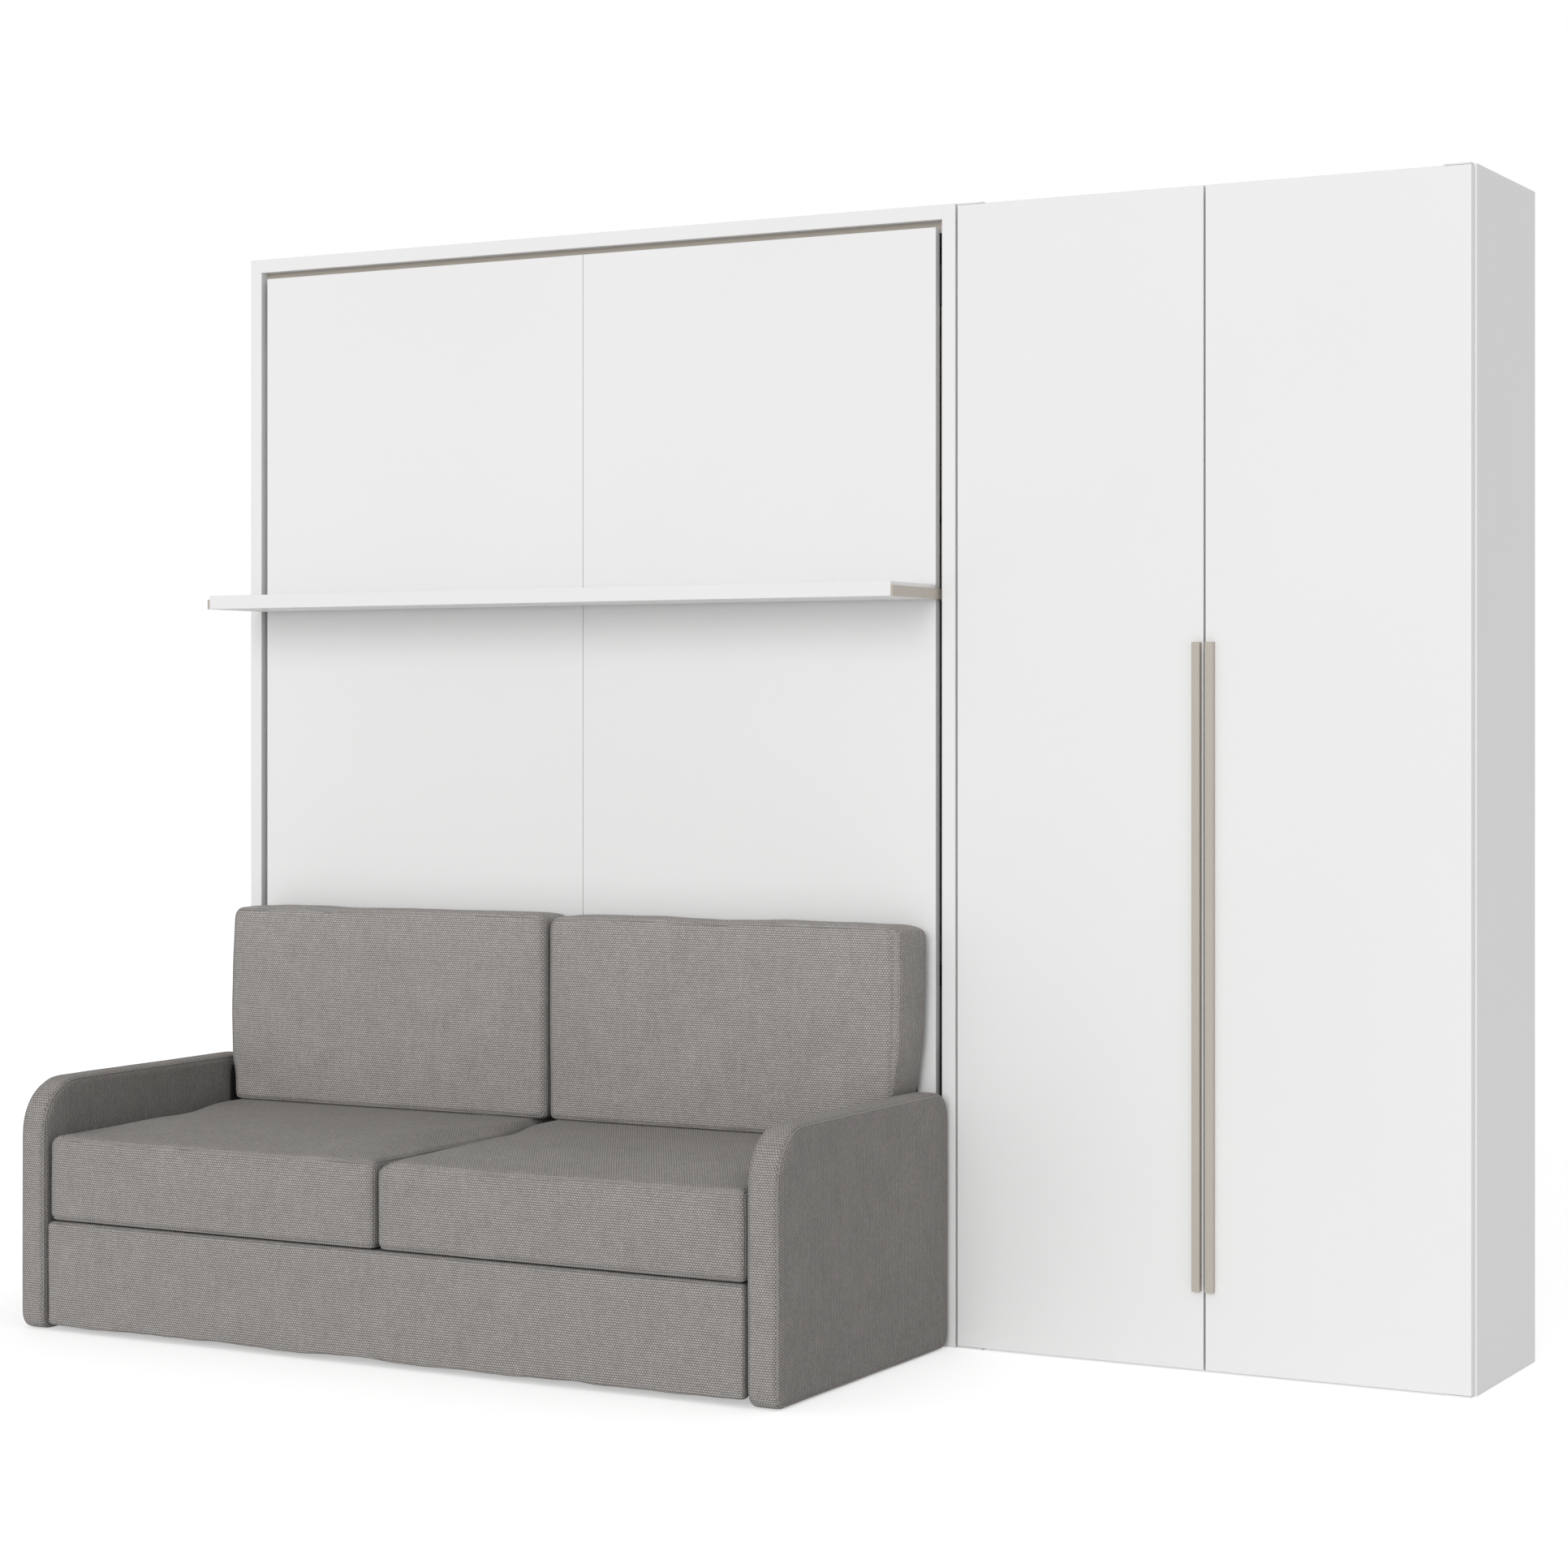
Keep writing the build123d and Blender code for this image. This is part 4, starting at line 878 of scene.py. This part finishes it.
def sofa_arm(side, seed):
    """An upholstered slab arm: two side panels sewn to a band that runs round the outline."""
    node = f"sofa_arm_{side}"
    low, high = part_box(node)
    if side == "left":
        low.x += ARM_OUTER_EASE
    profile = outline((low.y, low.z), (high.y, high.z), ARM_CORNERS)
    obj = slab(f"{node}_cover", profile, 0, low.x, high.x, ARM_EDGE, ARM_EDGE)
    remesh(obj, ARM_VOXEL)
    smooth(obj, 2)

    def shape(co, normal):
        gap = min(co.y - low.y, high.y - co.y, high.z - co.z, co.z - low.z)
        hollow = ARM_HOLLOW * (1 - soft_step(gap, *ARM_HOLLOW_WIDTH))
        if abs(normal.x) > 0.5:
            co.x -= math.copysign(hollow, normal.x)
            ripple = ARM_SIDE_RIPPLE * (0.5 + 0.5 * drift(co, 0.15, seed))
            co.x -= math.copysign(ripple, normal.x)
        else:
            co -= normal * ARM_BAND_RIPPLE * (0.5 + 0.5 * drift(co, 0.09, seed + 2))
        return co

    reshape(obj, shape)
    subdivide(obj)
    dressed(obj, finishes["sofa_fabric"])
    path = densified(outline((low.y, low.z), (high.y, high.z), ARM_CORNERS, ARM_INSET), SEAM_STEP)
    loops = [[(x, y, z) for y, z in path] for x in (low.x + ARM_INSET, high.x - ARM_INSET)]
    sewn(obj, loops, groove=ARM_GROOVE)
    finished(obj, node, "cabinet")


# ---------------------------------------------------------------- skirt
SKIRT_TOP = 0.2145
SKIRT_LIFT = 0.002
SKIRT_EDGE = 0.007
SKIRT_WAVE, SKIRT_RIPPLE = 0.0025, 0.0008
HEM_RIPPLES = ((0.0045, 0.16, 4.0), (0.0015, 0.05, 9.0))


def skirt():
    """The padded front panel below the seat, its lower hem hanging in slow waves."""
    node = "sofa_front_skirt"
    low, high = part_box(node)
    high.z = SKIRT_TOP
    low.z += SKIRT_LIFT
    obj = block(f"{node}_cover", low, high, SKIRT_EDGE)
    remesh(obj, SKIRT_VOXEL)
    smooth(obj, 2)

    def shape(co, normal):
        down = (high.z - co.z) / (high.z - low.z)
        hem = ripples((co.x, 0, 0), 0.0, HEM_RIPPLES)
        co.z -= hem * soft_step(down, 0.1, 1.0)
        if normal.y < -0.3:
            wave = SKIRT_WAVE * drift((co.x, 0, co.z * 0.6), 0.20, 2.0)
            co.y -= wave * soft_step(down, 0.0, 0.6)
            co.y -= SKIRT_RIPPLE * drift(co, 0.05, 6.0)
        return co

    reshape(obj, shape)
    subdivide(obj)
    dressed(obj, finishes["sofa_fabric"])
    finished(obj, node, "cabinet")


# ---------------------------------------------------------------- mattress
QUILT_PITCH = 0.13
QUILT_DEPTH = 0.006
QUILT_CHANNEL = 0.013
QUILT_BORDER = (0.03, 0.07)
MATTRESS_EDGE = 0.030
MATTRESS_INSET = 0.004
MATTRESS_CAP = 0.006
MATTRESS_PROUD = 0.001
MATTRESS_SEAM = 0.010


def mattress():
    """A foam mattress: quilted in lozenges on both faces, with a plain border and corded edges."""
    node = "mattress"
    low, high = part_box(node)
    inset = Vector((MATTRESS_INSET,) * 3)
    inner_low, inner_high = low + inset, high - inset
    obj = block(f"{node}_cover", inner_low, inner_high, MATTRESS_EDGE)
    remesh(obj, MATTRESS_VOXEL)

    def held(co):
        return 1.0 if gaps_to_box(co, inner_low, inner_high)[1] < MATTRESS_EDGE else 0.0

    inflate(obj, MATTRESS_PRESSURE, MATTRESS_CAP, held)
    subdivide(obj)

    def shape(co, normal):
        if abs(normal.y) > 0.6:
            a = (co.x + co.z) / QUILT_PITCH
            b = (co.x - co.z) / QUILT_PITCH
            line = min(abs(a - round(a)), abs(b - round(b))) * QUILT_PITCH
            channel = math.exp(-((line / QUILT_CHANNEL) ** 2))
            border = min(co.x - low.x, high.x - co.x, co.z - low.z, high.z - co.z)
            depth = QUILT_DEPTH * channel * soft_step(border, *QUILT_BORDER)
            co.y -= math.copysign(depth, normal.y)
        for i in range(3):
            co[i] = min(max(co[i], low[i] - MATTRESS_PROUD), high[i] + MATTRESS_PROUD)
        return co

    reshape(obj, shape)
    dressed(obj, finishes["mattress_fabric"])
    corners = (MATTRESS_EDGE,) * 4
    path = densified(outline((low.x, low.z), (high.x, high.z), corners, MATTRESS_SEAM), 2 * SEAM_STEP)
    loops = [[(x, y, z) for x, z in path] for y in (low.y + MATTRESS_SEAM, high.y - MATTRESS_SEAM)]
    sewn(obj, loops, groove=0.001, reach=0.012, thread=0.0028, lift=0.001)
    obj.data.materials[1] = finishes["mattress_fabric"]
    finished(obj, node, "bed")


for label, seed in (("left", 1.3), ("right", 5.1)):
    seat_cushion(label, seed)
    back_cushion(label, seed + 11)
    sofa_arm(label, seed + 23)
skirt()
mattress()

# ================================================================ camera, floor and light
camera_data = bpy.data.cameras.new("camera")
camera_data.sensor_width = 36.0
camera_data.lens = CAMERA_LENS
camera_data.shift_y = CAMERA_SHIFT_Y
camera_data.clip_end = 100.0
camera = bpy.data.objects.new("camera", camera_data)
camera.location = CAMERA_PLACE
camera.rotation_euler = (math.pi / 2, 0.0, CAMERA_YAW)
bpy.context.scene.collection.objects.link(camera)
bpy.context.scene.camera = camera

FLOOR_SIZE = 60.0
FLOOR_CELLS = 24
FLOOR_CLOUD = 700
FLOOR_COLOUR = (0.86, 0.86, 0.86)
FLOOR_GLOW = 0.10
FLOOR_LIFT = 0.34
AMBIENT = 0.62
BACKDROP_WHITE = 1.0
# name, strength, angular size, compass angle to the right of the front, height angle
SUNS = (("key", 1.22, 34, 9, 16),)

plane = bmesh.new()
bmesh.ops.create_grid(plane, x_segments=FLOOR_CELLS, y_segments=FLOOR_CELLS, size=FLOOR_SIZE / 2)
floor_mesh = bpy.data.meshes.new("floor")
plane.to_mesh(floor_mesh)
plane.free()
floor = new_object("floor", floor_mesh)
ground = Graph("floor_finish", 0.9, specular=0.1)
ground.colour(ground.shade(FLOOR_COLOUR, ground.spread(ground.noise(FLOOR_CLOUD, 2.0), 0.99, 1.01)))
ground.set("Emission Color", (1.0, 1.0, 1.0, 1.0))
seen = ground.tree.nodes.new("ShaderNodeLightPath").outputs["Is Camera Ray"]
ground.link(ground.math("MULTIPLY_ADD", seen, FLOOR_LIFT, FLOOR_GLOW), "Emission Strength")
floor.data.materials.append(ground.material)

world = bpy.data.worlds.new("world")
bpy.context.scene.world = world
world.use_nodes = True
sky = world.node_tree
background = sky.nodes["Background"]
background.inputs["Color"].default_value = (1.0, 1.0, 1.0, 1.0)
rays = sky.nodes.new("ShaderNodeLightPath")
level = sky.nodes.new("ShaderNodeMath")
level.operation = "MULTIPLY_ADD"
level.inputs[1].default_value = BACKDROP_WHITE - AMBIENT
level.inputs[2].default_value = AMBIENT
sky.links.new(rays.outputs["Is Camera Ray"], level.inputs[0])
sky.links.new(level.outputs[0], background.inputs["Strength"])


for name, strength, softness, turn, height in SUNS:
    turn, height = math.radians(turn), math.radians(height)
    data = bpy.data.lights.new(name, "SUN")
    data.energy = strength
    data.angle = math.radians(softness)
    sun = bpy.data.objects.new(name, data)
    level_part = math.cos(height)
    shining = Vector((math.sin(turn) * level_part, -math.cos(turn) * level_part, math.sin(height)))
    sun.rotation_euler = (-shining).to_track_quat("-Z", "Y").to_euler()
    bpy.context.scene.collection.objects.link(sun)

scene = bpy.context.scene
scene.view_settings.view_transform = "Standard"
scene.view_settings.look = "None"
